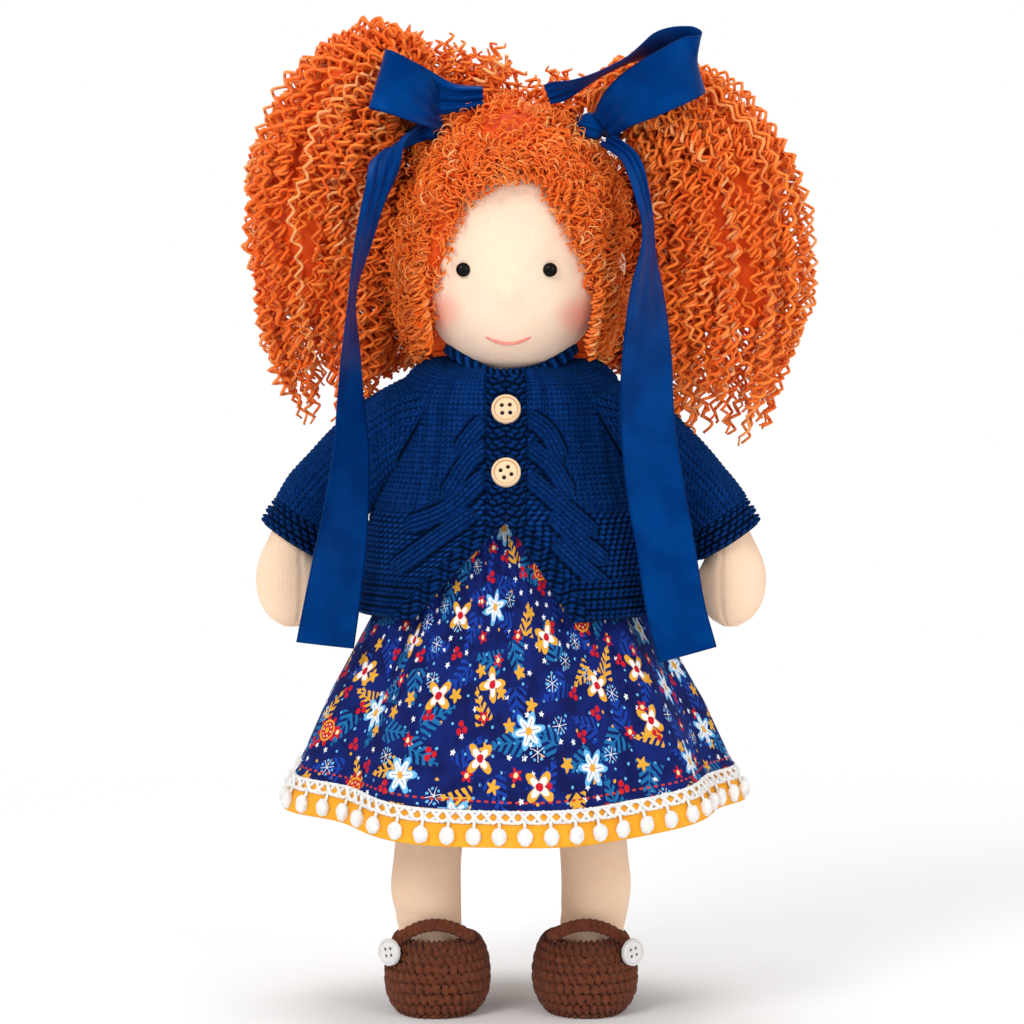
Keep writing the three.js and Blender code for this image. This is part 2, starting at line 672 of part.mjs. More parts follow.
// The strap lifts about its inner end, so it stays in front of the ankle all along
const strapPivotX = SHOE_X - 11.4;
const strapPivotZ = SHOE_HEIGHT + GAP + STRAP_RADIUS;
function strapSolid(sign) {
  const steps = 9;
  const stations = [];
  for (let i = 0; i <= steps; i += 1) {
    const t = i / steps;
    const z = strapPivotZ + STRAP_RISE * Math.sin(Math.PI * t) ** 0.8 - STRAP_DROP * t ** 3;
    const lean = 0.9 * Math.cos(Math.PI * (1 - t)) * Math.abs(2 * t - 1);
    stations.push([strapPivotX + t * STRAP_REACH, STRAP_Y, z, lean, STRAP_RADIUS, STRAP_RADIUS]);
  }
  return loft(leaningRings(sign, stations, 8));
}

// A round button with a raised rim and four holes, its face towards -Y, at the origin
function button(diameter, thickness, holeRadius, holePitch) {
  const circle = (x, y, radius, count) => Array.from({ length: count }, (_, i) => {
    const angle = (2 * Math.PI * i) / count;
    return new THREE.Vector2(x + radius * Math.cos(angle), y + radius * Math.sin(angle));
  });
  const outline = new THREE.Shape(circle(0, 0, diameter / 2, 18));
  for (const [x, y] of [[1, 1], [1, -1], [-1, 1], [-1, -1]]) {
    outline.holes.push(new THREE.Path(circle((x * holePitch) / 2, (y * holePitch) / 2, holeRadius, 6)));
  }
  const disc = new THREE.ExtrudeGeometry(outline, { depth: thickness, bevelEnabled: false });
  const dish = new THREE.CylinderGeometry(diameter * 0.38, diameter * 0.34, thickness * 0.6, 12);
  return cut(disc, dish.rotateX(Math.PI / 2).translate(0, 0, thickness)).rotateX(Math.PI / 2);
}

for (const [side, sign] of [['left', -1], ['right', 1]]) {
  const skin = cut(footAndLeg(sign, 0, hipZ), footAndLeg(sign, SKIN, hipZ + SKIN), rollSpace());
  add(`leg_${side}_skin`, skin, 'skin');
  add(`leg_${side}_wool_core`, cut(footAndLeg(sign, SKIN + WOOL_EASE, hipZ, 8), rollSpace()), 'wool');
  const ankle = [sign * (SHOE_X + 0.8), 0.8];
  const opening = (z) => levelRing(z, SHOE_OPENING_RADIUS, SHOE_OPENING_RADIUS, 16, ankle);
  const ankleOpening = loft([opening(SHOE_HEIGHT * 0.55), opening(SHOE_HEIGHT * 2)]);
  const footSpace = shoeSolid(sign, SHOE_WALL, footTopZ + GAP, footShape, 16);
  const shoe = cut(shoeSolid(sign, 0, SHOE_HEIGHT), ankleOpening, footSpace, legSolid(sign, -GAP, hipZ));
  add(`shoe_${side}`, shoe, 'crochet');
  const overShoe = shoeSolid(sign, -GAP, SHOE_HEIGHT + GAP);
  const atButton = (geometry) => (
    geometry.rotateZ(sign * SHOE_BUTTON_TURN).translate(sign * SHOE_BUTTON_X, SHOE_BUTTON_Y, SHOE_BUTTON_Z)
  );
  const stem = new THREE.CylinderGeometry(1, 1, 7, 8).translate(0, 3.5 + GAP, 0);
  add(`shoe_button_${side}_thread`, cut(atButton(stem), overShoe), 'white');
  const disc = button(WHITE_BUTTON_DIAMETER, WHITE_BUTTON_THICKNESS, BUTTON_HOLE_RADIUS, WHITE_HOLE_PITCH);
  add(`shoe_button_${side}`, atButton(disc), 'white');
  add(`shoe_strap_${side}`, strapSolid(sign), 'crochet');
}

// Arms: a straight root in the armhole, then out and down to a mitten hand
const wristX = armholeX + WRIST_REACH;
const wristDrop = WRIST_DROP;
const fingerDrop = wristDrop + HAND_LENGTH * 1.38;
function armSolid(sign, shrink, rootX, sides = 12) {
  const stations = [
    [rootX, 0, 0, 0, ARM_ROOT_RADIUS, 1],
    [armholeX + 0.6, 0, 0, 0, ARM_ROOT_RADIUS, 1],
    [armholeX + 9, -0.6, 6.5, 0.6, ARM_ROOT_RADIUS, 1],
    [armholeX + 20, -2, 17.5, 0.8, (ARM_ROOT_RADIUS + WRIST_RADIUS) / 2, 1],
    [wristX - 4.2, -3.8, wristDrop - 8.5, 0.98, WRIST_RADIUS, 1],
    [wristX, -5, wristDrop, 1.25, WRIST_RADIUS, 1],
    [wristX + 0.8, -5.5, wristDrop + HAND_LENGTH * 0.5, 1.5, HAND_RADIUS, HAND_FLATNESS],
    [wristX + 0.8, -6, wristDrop + HAND_LENGTH, 1.57, HAND_RADIUS * 0.94, HAND_FLATNESS],
    [wristX + 0.6, -6.4, fingerDrop - shrink / 2, 1.57, HAND_RADIUS * 0.62, HAND_FLATNESS],
    [wristX + 0.5, -6.5, wristDrop + HAND_LENGTH * 1.56 - shrink, 1.57, HAND_RADIUS * 0.2, 1],
  ].map(([x, y, drop, lean, radius, flat]) => {
    const wide = Math.max(radius - shrink, 0.4);
    const deep = Math.max(radius * flat - shrink, 0.4);
    return [x, y, shoulderZ - drop, lean, wide, deep];
  });
  return loft(leaningRings(sign, stations, sides));
}

const sleeveEnd = [armholeX + 29.2, -3.6, shoulderZ - 28.2];
function sleeveRings(sign, inset) {
  const stations = [
    [armholeX, 0, shoulderZ, 0, SLEEVE_TOP_RADIUS],
    [armholeX + 8, -0.4, shoulderZ - 5.6, 0.42, SLEEVE_TOP_RADIUS * 0.91],
    [armholeX + 16, -1.2, shoulderZ - 13.6, 0.7, SLEEVE_TOP_RADIUS * 0.88],
    [armholeX + 24, -2.4, shoulderZ - 22, 0.88, SLEEVE_LOW_RADIUS * 1.06],
    [...sleeveEnd, CUFF_LEAN, SLEEVE_LOW_RADIUS],
  ];
  return leaningRings(sign, stations.map(([x, y, z, lean, radius]) => (
    [x, y, z, lean, radius - inset, radius - inset]
  )), 16);
}

function cuffRings(sign, radii) {
  return leaningRings(sign, radii.map(([t, radius]) => {
    const along = GAP + t * CUFF_LENGTH;
    const x = sleeveEnd[0] + Math.cos(CUFF_LEAN) * along;
    const z = sleeveEnd[2] - Math.sin(CUFF_LEAN) * along;
    return [x, sleeveEnd[1] - t, z, CUFF_LEAN, radius, radius];
  }), 16);
}

for (const [side, sign] of [['left', -1], ['right', 1]]) {
  add(`arm_${side}_skin`, cut(armSolid(sign, 0, armRootX), armSolid(sign, SKIN, armRootX - SKIN)), 'skin');
  add(`arm_${side}_wool_core`, armSolid(sign, SKIN + WOOL_EASE, armRootX, 8), 'wool');
  add(`sleeve_${side}`, tubeWall(sleeveRings(sign, 0), sleeveRings(sign, KNIT)), 'knit');
  const cuffBore = WRIST_RADIUS + CLOTH_EASE;
  const cuffWall = tubeWall(
    cuffRings(sign, [[0, CUFF_RADIUS - 0.6], [0.5, CUFF_RADIUS + 0.2], [1, CUFF_RADIUS - 0.6]]),
    cuffRings(sign, [[0, cuffBore], [0.5, cuffBore], [1, cuffBore]]),
  );
  add(`cuff_${side}`, cut(cuffWall, armSolid(sign, -GAP, armRootX)), 'knit');
}

// Dress bodice: printed cotton over the torso, with armholes, under the cardigan
const bodiceProfile = [
  [waistZ + GAP, ...profileAt(torsoProfile, waistZ)],
  ...torsoProfile.filter(([z]) => z > waistZ + 4),
  [neckBaseZ, socket + SKIN, socket + SKIN],
];
const armholeCut = rodAlongX(ARM_ROOT_RADIUS + TURN_GAP, -armholeX - 5, armholeX + 5, shoulderZ, 16);
const bodice = tubeWall(
  profileRings(offsetProfile(bodiceProfile, CLOTH_EASE + COTTON), TORSO_SIDES),
  profileRings(offsetProfile(bodiceProfile, CLOTH_EASE), TORSO_SIDES),
);
add('dress_bodice', cut(bodice, armholeCut), 'print');

const collarInner = socket + SKIN + CLOTH_EASE;
const collarZ = neckBaseZ + CLOTH_EASE + COTTON + GAP;
const collarRings = (radius) => [collarZ, cardiganTopZ].map((z) => levelRing(z, radius, radius, 20));
add('dress_collar', tubeWall(collarRings(collarInner + COTTON), collarRings(collarInner)), 'mustard');

// Skirt: a gathered cone with its main folds, dipping a little in front
function skirtRing(z, halfWidth, halfDepth, depth, dip) {
  const ring = [];
  const sides = 6 * SKIRT_FOLDS;
  for (let i = 0; i < sides; i += 1) {
    const angle = (2 * Math.PI * i) / sides - Math.PI / 2;
    const fold = depth * Math.cos(SKIRT_FOLDS * angle);
    const front = Math.max(-Math.sin(angle), 0);
    ring.push([
      (halfWidth + fold) * Math.cos(angle),
      (halfDepth + fold) * Math.sin(angle),
      z - dip * front * front,
    ]);
  }
  return ring;
}
const skirtShape = [
  [0, 0, 0.1], [0.12, 0.08, 0.25], [0.38, 0.29, 0.5], [0.5, 0.44, 0.6], [0.75, 0.75, 0.85], [1, 1, 1],
];
function skirtRows(inset) {
  return skirtShape.map(([t, f, depth]) => skirtRing(
    waistZ - t * SKIRT_LENGTH,
    WAIST_WIDTH / 2 + (f * (HEM_WIDTH - WAIST_WIDTH)) / 2 - inset,
    WAIST_DEPTH / 2 + (f * (HEM_DEPTH - WAIST_DEPTH)) / 2 - inset,
    depth * FOLD_DEPTH,
    FRONT_DIP * t * t,
  ));
}
add('skirt', tubeWall(skirtRows(0), skirtRows(COTTON)), 'print');

// Mustard hem band, set inside the print's edge, and the lace with its drops on its upper edge
function bandRing(t, out) {
  const grow = BAND_FLARE * t + out;
  const z = skirtHemZ - GAP - t * BAND_DROP;
  return skirtRing(z, HEM_WIDTH / 2 + grow, HEM_DEPTH / 2 + grow, FOLD_DEPTH, FRONT_DIP);
}
const bandSheet = (out) => [bandRing(0, out), bandRing(1, out)];
add('hem_band', tubeWall(bandSheet(0), bandSheet(-COTTON)), 'mustard');

// The lace is a ring on the band's upper part whose lower edge runs down to a point at every drop
const dropTop = LACE_HEIGHT / BAND_DROP;
const dropTip = (LACE_HEIGHT + POM_RADIUS * 2) / BAND_DROP;
function laceRing(out, isLowerEdge) {
  const ring = [];
  const steps = 2 * POM_COUNT;
  for (let i = 0; i < steps; i += 1) {
    const angle = (2 * Math.PI * i) / steps - Math.PI / 2;
    const t = isLowerEdge ? [dropTip, dropTop][i % 2] : 0.02;
    const swell = BAND_FLARE * t + out + FOLD_DEPTH * Math.cos(SKIRT_FOLDS * angle);
    const front = Math.max(-Math.sin(angle), 0);
    ring.push([
      (HEM_WIDTH / 2 + swell) * Math.cos(angle),
      (HEM_DEPTH / 2 + swell) * Math.sin(angle),
      skirtHemZ - GAP - t * BAND_DROP - FRONT_DIP * front * front,
    ]);
  }
  return ring;
}
const laceOut = GAP + LACE_THICKNESS;
const lace = tubeWall(
  [laceRing(laceOut, false), laceRing(laceOut + 0.4, true)],
  [laceRing(GAP * 2, false), laceRing(GAP * 2, true)],
);
add('pompom_lace', cut(lace, loft(bandSheet(GAP))), 'lace');

// Cardigan body: panels of one round form, with bands along the front edges and round the neck
const hemA = CARDIGAN_HEM_WIDTH / 2;
const hemB = CARDIGAN_HEM_DEPTH / 2;
const sideA = CARDIGAN_SHOULDER / 2;
const neckbandInner = collarInner + COTTON + CLOTH_EASE;
const neckbandOuter = neckbandInner + KNIT;
const cardiganProfile = [
  [cardiganHemZ, hemA, hemB],
  [cardiganHemZ + 9, hemA - 2.6, hemB - 2.4],
  [cardiganHemZ + 21, hemA - 6.6, hemB - 5.8],
  [cardiganHemZ + CARDIGAN_LENGTH * 0.473, sideA + 2, hemB - 10],
  [shoulderZ - SLEEVE_TOP_RADIUS, sideA, hemB - 13.5],
  [shoulderZ - 1, sideA, hemB - 17.5],
  [shoulderZ + 8.5, sideA, hemB - 20.5],
  [shoulderZ + 14.6, sideA - 4, hemB - 22.4],
  [cardiganTopZ - 2.2, neckbandOuter + 8, hemB - 23.6],
  [cardiganTopZ - 0.6, neckbandOuter + 1, neckbandOuter + 0.8],
];

// A panel between two angles, each a function of height, with 0 at +X and -90 degrees in front
function panel(fromAngle, toAngle, columns, proud = 0) {
  const grid = (distance) => offsetProfile(cardiganProfile, distance).map(([z, a, b], k) => {
    const level = cardiganProfile[k][0];
    const row = [];
    for (let c = 0; c <= columns; c += 1) {
      const angle = fromAngle(level) + (c / columns) * (toAngle(level) - fromAngle(level));
      row.push([a * Math.cos(angle), b * Math.sin(angle), z]);
    }
    return row;
  });
  return slab(grid(proud), grid(-KNIT));
}

// The angle at which a front panel's point lies at a distance from its edge: the edges meet at the
// button line and spread apart below the join
function frontAngle(sign, z, fromEdge) {
  const open = Math.max((cardiganJoinZ - z) / (cardiganJoinZ - cardiganHemZ), 0);
  const spread = (sign < 0 ? HEM_SPREAD_LEFT : HEM_SPREAD_RIGHT) * open ** 0.9;
  const x = BUTTON_LINE_X + sign * (spread + fromEdge);
  const [a] = profileAt(cardiganProfile, z);
  return -Math.acos(Math.min(Math.max(x / a, -1), 1));
}
const SEAM_TURN = 0.01;
const neckSpace = new THREE.CylinderGeometry(neckbandOuter + GAP, neckbandOuter + GAP, 30, 20);
neckSpace.rotateX(Math.PI / 2).translate(0, 0, cardiganTopZ);

for (const [side, sign] of [['left', -1], ['right', 1]]) {
  const sideSeam = sign < 0 ? -Math.PI + SEAM_TURN : -SEAM_TURN;
  const innerEdge = (z) => frontAngle(sign, z, BAND_WIDTH + GAP);
  const front = sign < 0 ? panel(() => sideSeam, innerEdge, 7) : panel(innerEdge, () => sideSeam, 7);
  add(`cardigan_front_${side}`, cut(front, armholeCut, neckSpace), 'knit');
  const edge = (z) => frontAngle(sign, z, GAP / 2);
  const bandEdge = (z) => frontAngle(sign, z, BAND_WIDTH);
  const band = sign < 0 ? panel(bandEdge, edge, 2, BAND_PROUD) : panel(edge, bandEdge, 2, BAND_PROUD);
  add(`front_band_${side}`, cut(band, neckSpace), 'knit');
}
add('cardigan_back', cut(panel(() => 0, () => Math.PI, 14), armholeCut, neckSpace), 'knit');
const neckbandRings = (radius) => [cardiganTopZ - NECKBAND_HEIGHT, cardiganTopZ].map((z) => (
  levelRing(z, radius, radius, 20)
));
add('neckband', tubeWall(neckbandRings(neckbandOuter), neckbandRings(neckbandInner)), 'knit');

// Wooden buttons lie flat on the bands, tilted with the chest
for (const [name, drop] of [['upper', UPPER_BUTTON_DROP], ['lower', LOWER_BUTTON_DROP]]) {
  const z = neckBaseZ - drop;
  const reach = WOOD_BUTTON_DIAMETER / 2;
  const depthAt = (height) => profileAt(cardiganProfile, height)[1];
  const tilt = Math.atan2(depthAt(z - reach) - depthAt(z + reach), 2 * reach);
  const proud = [-1, -0.5, 0, 0.5, 1].map((t) => (
    depthAt(z + t * reach) * Math.cos(tilt) + t * reach * Math.sin(tilt)
  ));
  const out = Math.max(...proud) + BAND_PROUD + GAP;
  const y = -(out / Math.cos(tilt));
  const place = (geometry) => geometry.rotateX(-tilt).translate(BUTTON_LINE_X, y, z);
  const disc = button(WOOD_BUTTON_DIAMETER, WOOD_BUTTON_THICKNESS, BUTTON_HOLE_RADIUS, WOOD_HOLE_PITCH);
  add(`cardigan_button_${name}`, place(disc), 'wood');
}

export default doll;
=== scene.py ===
"""Looks of the cloth doll: skin, hair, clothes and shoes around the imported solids."""

import itertools
import math

import bmesh
import bpy
import numpy as np
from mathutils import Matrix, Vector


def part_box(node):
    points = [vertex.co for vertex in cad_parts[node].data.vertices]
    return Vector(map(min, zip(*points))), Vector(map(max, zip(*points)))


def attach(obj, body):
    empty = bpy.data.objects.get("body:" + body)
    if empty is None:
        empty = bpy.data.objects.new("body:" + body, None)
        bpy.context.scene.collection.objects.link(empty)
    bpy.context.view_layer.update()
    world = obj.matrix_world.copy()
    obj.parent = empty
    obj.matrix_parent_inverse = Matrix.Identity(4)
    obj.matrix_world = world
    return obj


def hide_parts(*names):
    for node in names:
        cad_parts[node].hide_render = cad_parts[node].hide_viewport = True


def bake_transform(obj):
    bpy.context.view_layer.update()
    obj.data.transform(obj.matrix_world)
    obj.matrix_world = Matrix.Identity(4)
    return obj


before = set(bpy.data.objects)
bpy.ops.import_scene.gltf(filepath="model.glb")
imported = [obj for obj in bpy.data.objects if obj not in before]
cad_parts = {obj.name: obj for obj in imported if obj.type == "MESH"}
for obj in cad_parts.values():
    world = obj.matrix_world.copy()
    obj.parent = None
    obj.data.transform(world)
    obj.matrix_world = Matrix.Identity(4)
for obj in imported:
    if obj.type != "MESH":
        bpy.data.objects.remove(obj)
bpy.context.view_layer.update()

MM = 0.001
MAP_SPAN = 500.0
TURN = 2 * math.pi

HIP_Z, SHOULDER_Z, CHIN_Z = 108.0, 190.0, 211.0
HEAD_HEIGHT, HEAD_HALF_WIDTH, HEAD_HALF_DEPTH = 79.5, 33.0, 32.0
NECK_RADIUS, NECK_PLUG_Z = 10.0, 198.5
NOSE_Z, EYE_Z, MOUTH_Z = 235.0, 243.2, 219.4
WAIST_Z, SKIRT_LENGTH = 164.0, 83.5
HEM_HALF_WIDTH, HEM_HALF_DEPTH, WAIST_HALF_WIDTH, WAIST_HALF_DEPTH = 69.75, 57.0, 33.0, 25.5
SKIRT_FOLDS, FOLD_DEPTH, FRONT_DIP = 9, 2.4, 8.0
CARDIGAN_HEM_Z, CARDIGAN_JOIN_Z = 131.0, 162.0
BUTTON_LINE_X, BAND_WIDTH = -1.6, 6.0
TIE_X, TIE_Z = 28.5, 288.5
RIBBON_WIDTH, RIBBON_THICKNESS, COTTON_THICKNESS = 19.5, 0.35, 0.5
SHOE_X, SHOE_Y, SHOE_HALF_WIDTH, SHOE_HALF_LENGTH, SHOE_HEIGHT = 24.2, -5.0, 16.4, 22.5, 23.2

# The cap's shell is an ellipsoid round the head's middle; its locks end at the floor and leave the ear clear.
HEAD_MIDDLE = np.array([0, 0, 248.0])
CAP_HALF = np.array([HEAD_HALF_WIDTH, HEAD_HALF_DEPTH, 43.5])
CAP_FLOOR_Z = 213.5
EAR_PLACE = np.array([37.0, -9.0, 243.5])

rng = np.random.default_rng(7)


# Curves and noise


def ease(low, high, x):
    """Smooth step: 3t^2 - 2t^3, with t the share of the way from low to high."""
    t = np.clip((x - low) / (high - low), 0, 1)
    return t * t * (3 - 2 * t)


def bell(x, width):
    """exp(-(x / width)^2)."""
    return np.exp(-((x / width) ** 2))


def unit(v):
    return v / np.maximum(np.linalg.norm(v, axis=-1, keepdims=True), 1e-9)


def circle(count):
    """Angles evenly spaced round a full turn."""
    return np.linspace(0, TURN, count, endpoint=False)


def run_along(line):
    """The length along a line of points, at each of them."""
    return np.r_[0, np.cumsum(np.linalg.norm(np.diff(line, axis=0), axis=1))]


def run_down(grid):
    """The length down each column of a grid of points, at each row."""
    steps = np.linalg.norm(np.diff(grid, axis=0), axis=-1)
    return np.concatenate([np.zeros((1, grid.shape[1])), np.cumsum(steps, axis=0)])


def wall_normals(grid):
    """Directions square to a grid whose rows are rings, not yet turned to one side."""
    return unit(np.cross(np.roll(grid, -1, axis=1) - np.roll(grid, 1, axis=1), np.gradient(grid, axis=0)))


def spline(rows, at):
    """A smooth curve through rows of numbers: the Catmull-Rom cubic at the row positions in at."""
    rows = np.asarray(rows, float)
    last = len(rows) - 1
    at = np.clip(np.asarray(at, float), 0, last)
    k = np.minimum(at.astype(int), last - 1)
    t = (at - k).reshape((-1,) + (1,) * (rows.ndim - 1))
    padded = np.concatenate([2 * rows[:1] - rows[1:2], rows, 2 * rows[-1:] - rows[-2:-1]])
    a, b, c, d = (padded[k + i] for i in range(4))
    return 0.5 * (2 * b + (c - a) * t + (2 * a - 5 * b + 4 * c - d) * t**2 + (3 * b - a - 3 * c + d) * t**3)


def even(rows, count):
    """count rows of the smooth curve through rows, evenly spaced by the length of its first three numbers."""
    fine = spline(rows, np.linspace(0, len(rows) - 1, 16 * len(rows)))
    run = run_along(fine[:, :3])
    goal = np.linspace(0, run[-1], count)
    return np.stack([np.interp(goal, run, fine[:, i]) for i in range(fine.shape[1])], axis=1)


def lumps(points, size, seed=0):
    """Smooth noise from -1 to 1: random values at the corners of a lattice of that size, eased between."""
    q = np.asarray(points, float) / size + seed * 17.37
    base = np.floor(q)
    f = q - base
    f = f * f * (3 - 2 * f)
    total = np.zeros(q.shape[:-1])
    for corner in itertools.product((0, 1), repeat=3):
        value = np.sin((base + corner) @ np.array([127.1, 311.7, 74.7])) * 43758.5453
        weight = np.prod(np.where(corner, f, 1 - f), axis=-1)
        total += (2 * (value - np.floor(value)) - 1) * weight
    return total


# Meshes


def piece(name, points, quads, triangles=None, uv=None, marks=None, material=None, body=None, stands_for=(), slot=None):
    """A mesh object from points in mm, faces, a map of two numbers per face corner, and marks: one number per point."""
    quads = np.asarray(quads, np.int32).reshape(-1, 4)
    triangles = np.zeros((0, 3), np.int32) if triangles is None else np.asarray(triangles, np.int32)
    mesh = bpy.data.meshes.new(name)
    loops = np.concatenate([quads.ravel(), triangles.ravel()])
    starts = np.concatenate([4 * np.arange(len(quads)), 4 * len(quads) + 3 * np.arange(len(triangles))])
    mesh.vertices.add(len(points))
    mesh.vertices.foreach_set("co", (np.asarray(points) * MM).astype(np.float32).ravel())
    mesh.loops.add(len(loops))
    mesh.loops.foreach_set("vertex_index", loops.astype(np.int32))
    mesh.polygons.add(len(starts))
    mesh.polygons.foreach_set("loop_start", starts.astype(np.int32))
    mesh.update(calc_edges=True)
    mesh.validate()
    mesh.shade_smooth()
    if uv is not None:
        layer = mesh.uv_layers.new(name="cloth")
        layer.data.foreach_set("uv", np.asarray(uv, np.float32).ravel())
    for mark, values in (marks or {}).items():
        mesh.attributes.new(mark, "FLOAT", "POINT").data.foreach_set("value", np.asarray(values, np.float32).ravel())
    made = bpy.data.objects.new(name, mesh)
    bpy.context.scene.collection.objects.link(made)
    if material:
        mesh.materials.append(material)
    if stands_for:
        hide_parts(*stands_for)
    if body:
        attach(made, body)
    return made


def grid_faces(rows, columns, wrap):
    """Quads of a grid of points, and the row and column of each corner; wrap joins the last column to the first."""
    r, c = np.meshgrid(np.arange(rows - 1), np.arange(columns if wrap else columns - 1), indexing="ij")
    r, c = r.ravel(), c.ravel()
    corner_rows = np.stack([r, r, r + 1, r + 1], axis=1)
    corner_columns = np.stack([c, c + 1, c + 1, c], axis=1)
    return corner_rows * columns + corner_columns % columns, corner_rows, corner_columns


def volume(points, quads, triangles):
    """Six times the enclosed volume, by the triple products of the faces."""
    faces = np.concatenate([quads[:, [0, 1, 2]], quads[:, [0, 2, 3]], triangles])
    a, b, c = (points[faces[:, i]] for i in range(3))
    return float((a * np.cross(b, c)).sum())


def surface(name, grid, wrap=False, closed=False, ends=False, flip=False, uv=None, marks=None, **rest):
    """A piece from a grid of points (rows, columns, 3). wrap joins the columns round, closed joins the rows round,
    and ends closes the first and the last row with a fan. uv is (across, along), one more column where wrapped."""
    rows, columns = grid.shape[:2]
    if closed:
        grid = np.concatenate([grid, grid[:1]])
    quads, corner_rows, corner_columns = grid_faces(len(grid), columns, wrap)
    points = grid[:rows].reshape(-1, 3)
    if closed:
        quads = quads % (rows * columns)
    triangles = np.zeros((0, 3), int)
    corner_map = None
    marks = {k: np.asarray(v, float).reshape(-1) for k, v in (marks or {}).items()}
    if uv is not None:
        across, along = uv
        corner_map = np.stack([across[corner_rows, corner_columns], along[corner_rows, corner_columns]], axis=-1) / MAP_SPAN
        corner_map = corner_map.reshape(-1, 2)
    if ends:
        c = np.arange(columns)
        n = (c + 1) % columns
        first, last = len(points), len(points) + 1
        top = (rows - 1) * columns
        points = np.concatenate([points, [grid[0].mean(0)], [grid[rows - 1].mean(0)]])
        triangles = np.concatenate([
            np.stack([np.full(columns, first), n, c], axis=1),
            np.stack([np.full(columns, last), top + c, top + n], axis=1),
        ])
        marks = {k: np.r_[v, v[:columns].mean(), v[-columns:].mean()] for k, v in marks.items()}
        if corner_map is not None:
            flat = np.stack([across[0, triangles[:columns] % columns], along[0, triangles[:columns] % columns]], axis=-1)
            flat_end = np.stack([across[-1, triangles[columns:] % columns], along[-1, triangles[columns:] % columns]], axis=-1)
            corner_map = np.concatenate([corner_map, flat.reshape(-1, 2) / MAP_SPAN, flat_end.reshape(-1, 2) / MAP_SPAN])
    turned = volume(points, quads, triangles) < 0 if (ends or closed) else flip
    if turned:
        quads, triangles = quads[:, ::-1], triangles[:, ::-1]
        if corner_map is not None:
            q = 4 * len(quads)
            corner_map = np.concatenate([
                corner_map[:q].reshape(-1, 4, 2)[:, ::-1].reshape(-1, 2),
                corner_map[q:].reshape(-1, 3, 2)[:, ::-1].reshape(-1, 2),
            ])
    return piece(name, points, quads, triangles, corner_map, marks, **rest)


def tubes(paths, side, radius, sides=3):
    """Rings round many paths at once: path + radius * (cos a * side + sin a * (tangent x side)).
    paths and side are (tubes, steps, 3), radius (tubes, steps). Each end closes flat."""
    tangent = unit(np.gradient(paths, axis=1))
    other = unit(np.cross(tangent, side))
    inward = np.cross(other, tangent)
    a = TURN * np.arange(sides) / sides
    ring = inward[:, :, None] * np.cos(a)[None, None, :, None] + other[:, :, None] * np.sin(a)[None, None, :, None]
    points = paths[:, :, None] + ring * radius[:, :, None, None]
    count, steps = paths.shape[:2]
    quads, _, _ = grid_faces(steps, sides, True)
    block = steps * sides
    quads = (quads[None] + block * np.arange(count)[:, None, None]).reshape(-1, 4)[:, ::-1]
    s = np.arange(sides)
    n = (s + 1) % sides
    middle = np.zeros(sides, int)
    fans = np.concatenate([
        np.stack([middle, s, n], axis=1)[1:-1],
        np.stack([middle, n, s], axis=1)[1:-1] + block - sides,
    ])
    fans = (fans[None] + block * np.arange(count)[:, None, None]).reshape(-1, 3)
    return points.reshape(-1, 3), quads, fans


def merged(parts):
    """Several (points, quads, triangles) as one."""
    points, quads, triangles, base = [], [], [], 0
    for p, q, t in parts:
        points.append(p)
        quads.append(q + base)
        triangles.append(t + base)
        base += len(p)
    return np.concatenate(points), np.concatenate(quads), np.concatenate(triangles)


def line_frames(path, hint):
    """Two directions square to a path (steps, 3) that stay near the hint."""
    tangent = unit(np.gradient(path, axis=-2))
    side = unit(np.broadcast_to(np.asarray(hint, float), path.shape) - tangent * (tangent * hint).sum(-1, keepdims=True))
    return side, np.cross(tangent, side)


# Values over a surface, and the materials made of them


def plug(tree, value, socket):
    if isinstance(value, Field):
        tree.links.new(value.out, socket)
    elif isinstance(value, (tuple, list)) and len(value) == 3 and socket.type == "RGBA":
        socket.default_value = (*value, 1)
    else:
        socket.default_value = value


class Field:
    """A value that changes over the surface; arithmetic on it adds Math nodes."""

    def __init__(self, tree, out):
        self.tree, self.out = tree, out

    def math(self, kind, *others, clamp=False):
        node = self.tree.nodes.new("ShaderNodeMath")
        node.operation, node.use_clamp = kind, clamp
        for socket, value in zip(node.inputs, (self, *others)):
            plug(self.tree, value, socket)
        return Field(self.tree, node.outputs[0])

    def __add__(self, other):
        return self.math("ADD", other)

    def __sub__(self, other):
        return self.math("SUBTRACT", other)

    def __mul__(self, other):
        return self.math("MULTIPLY", other)

    def __truediv__(self, other):
        return self.math("DIVIDE", other)

    def sin(self):
        return self.math("SINE")

    def cos(self):
        return self.math("COSINE")

    def part(self):
        return self.math("FRACT")

    def size(self):
        return self.math("ABSOLUTE")

    def below(self, edge, soft):
        """1 where the value is under the edge, falling to 0 over soft."""
        return self.ramp(edge + soft / 2, edge - soft / 2) if not isinstance(edge, Field) else (self - edge).ramp(soft / 2, -soft / 2)

    def ramp(self, low, high, start=0.0, end=1.0):
        node = self.tree.nodes.new("ShaderNodeMapRange")
        node.interpolation_type = "SMOOTHSTEP"
        for socket, value in zip(node.inputs, (self, low, high, start, end)):
            plug(self.tree, value, socket)
        return Field(self.tree, node.outputs[0])


def add_node(tree, kind, inputs=None, **settings):
    node = tree.nodes.new(kind)
    for key, value in settings.items():
        setattr(node, key, value)
    for key, value in (inputs or {}).items():
        plug(tree, value, node.inputs[key])
    return node


def take(tree, node, output):
    return Field(tree, node.outputs[output])


def mix(tree, share, a, b, kind="MIX"):
    node = tree.nodes.new("ShaderNodeMix")
    node.data_type, node.blend_type = "RGBA", kind
    for index, value in ((0, share), (6, a), (7, b)):
        plug(tree, value, node.inputs[index])
    return Field(tree, node.outputs[2])


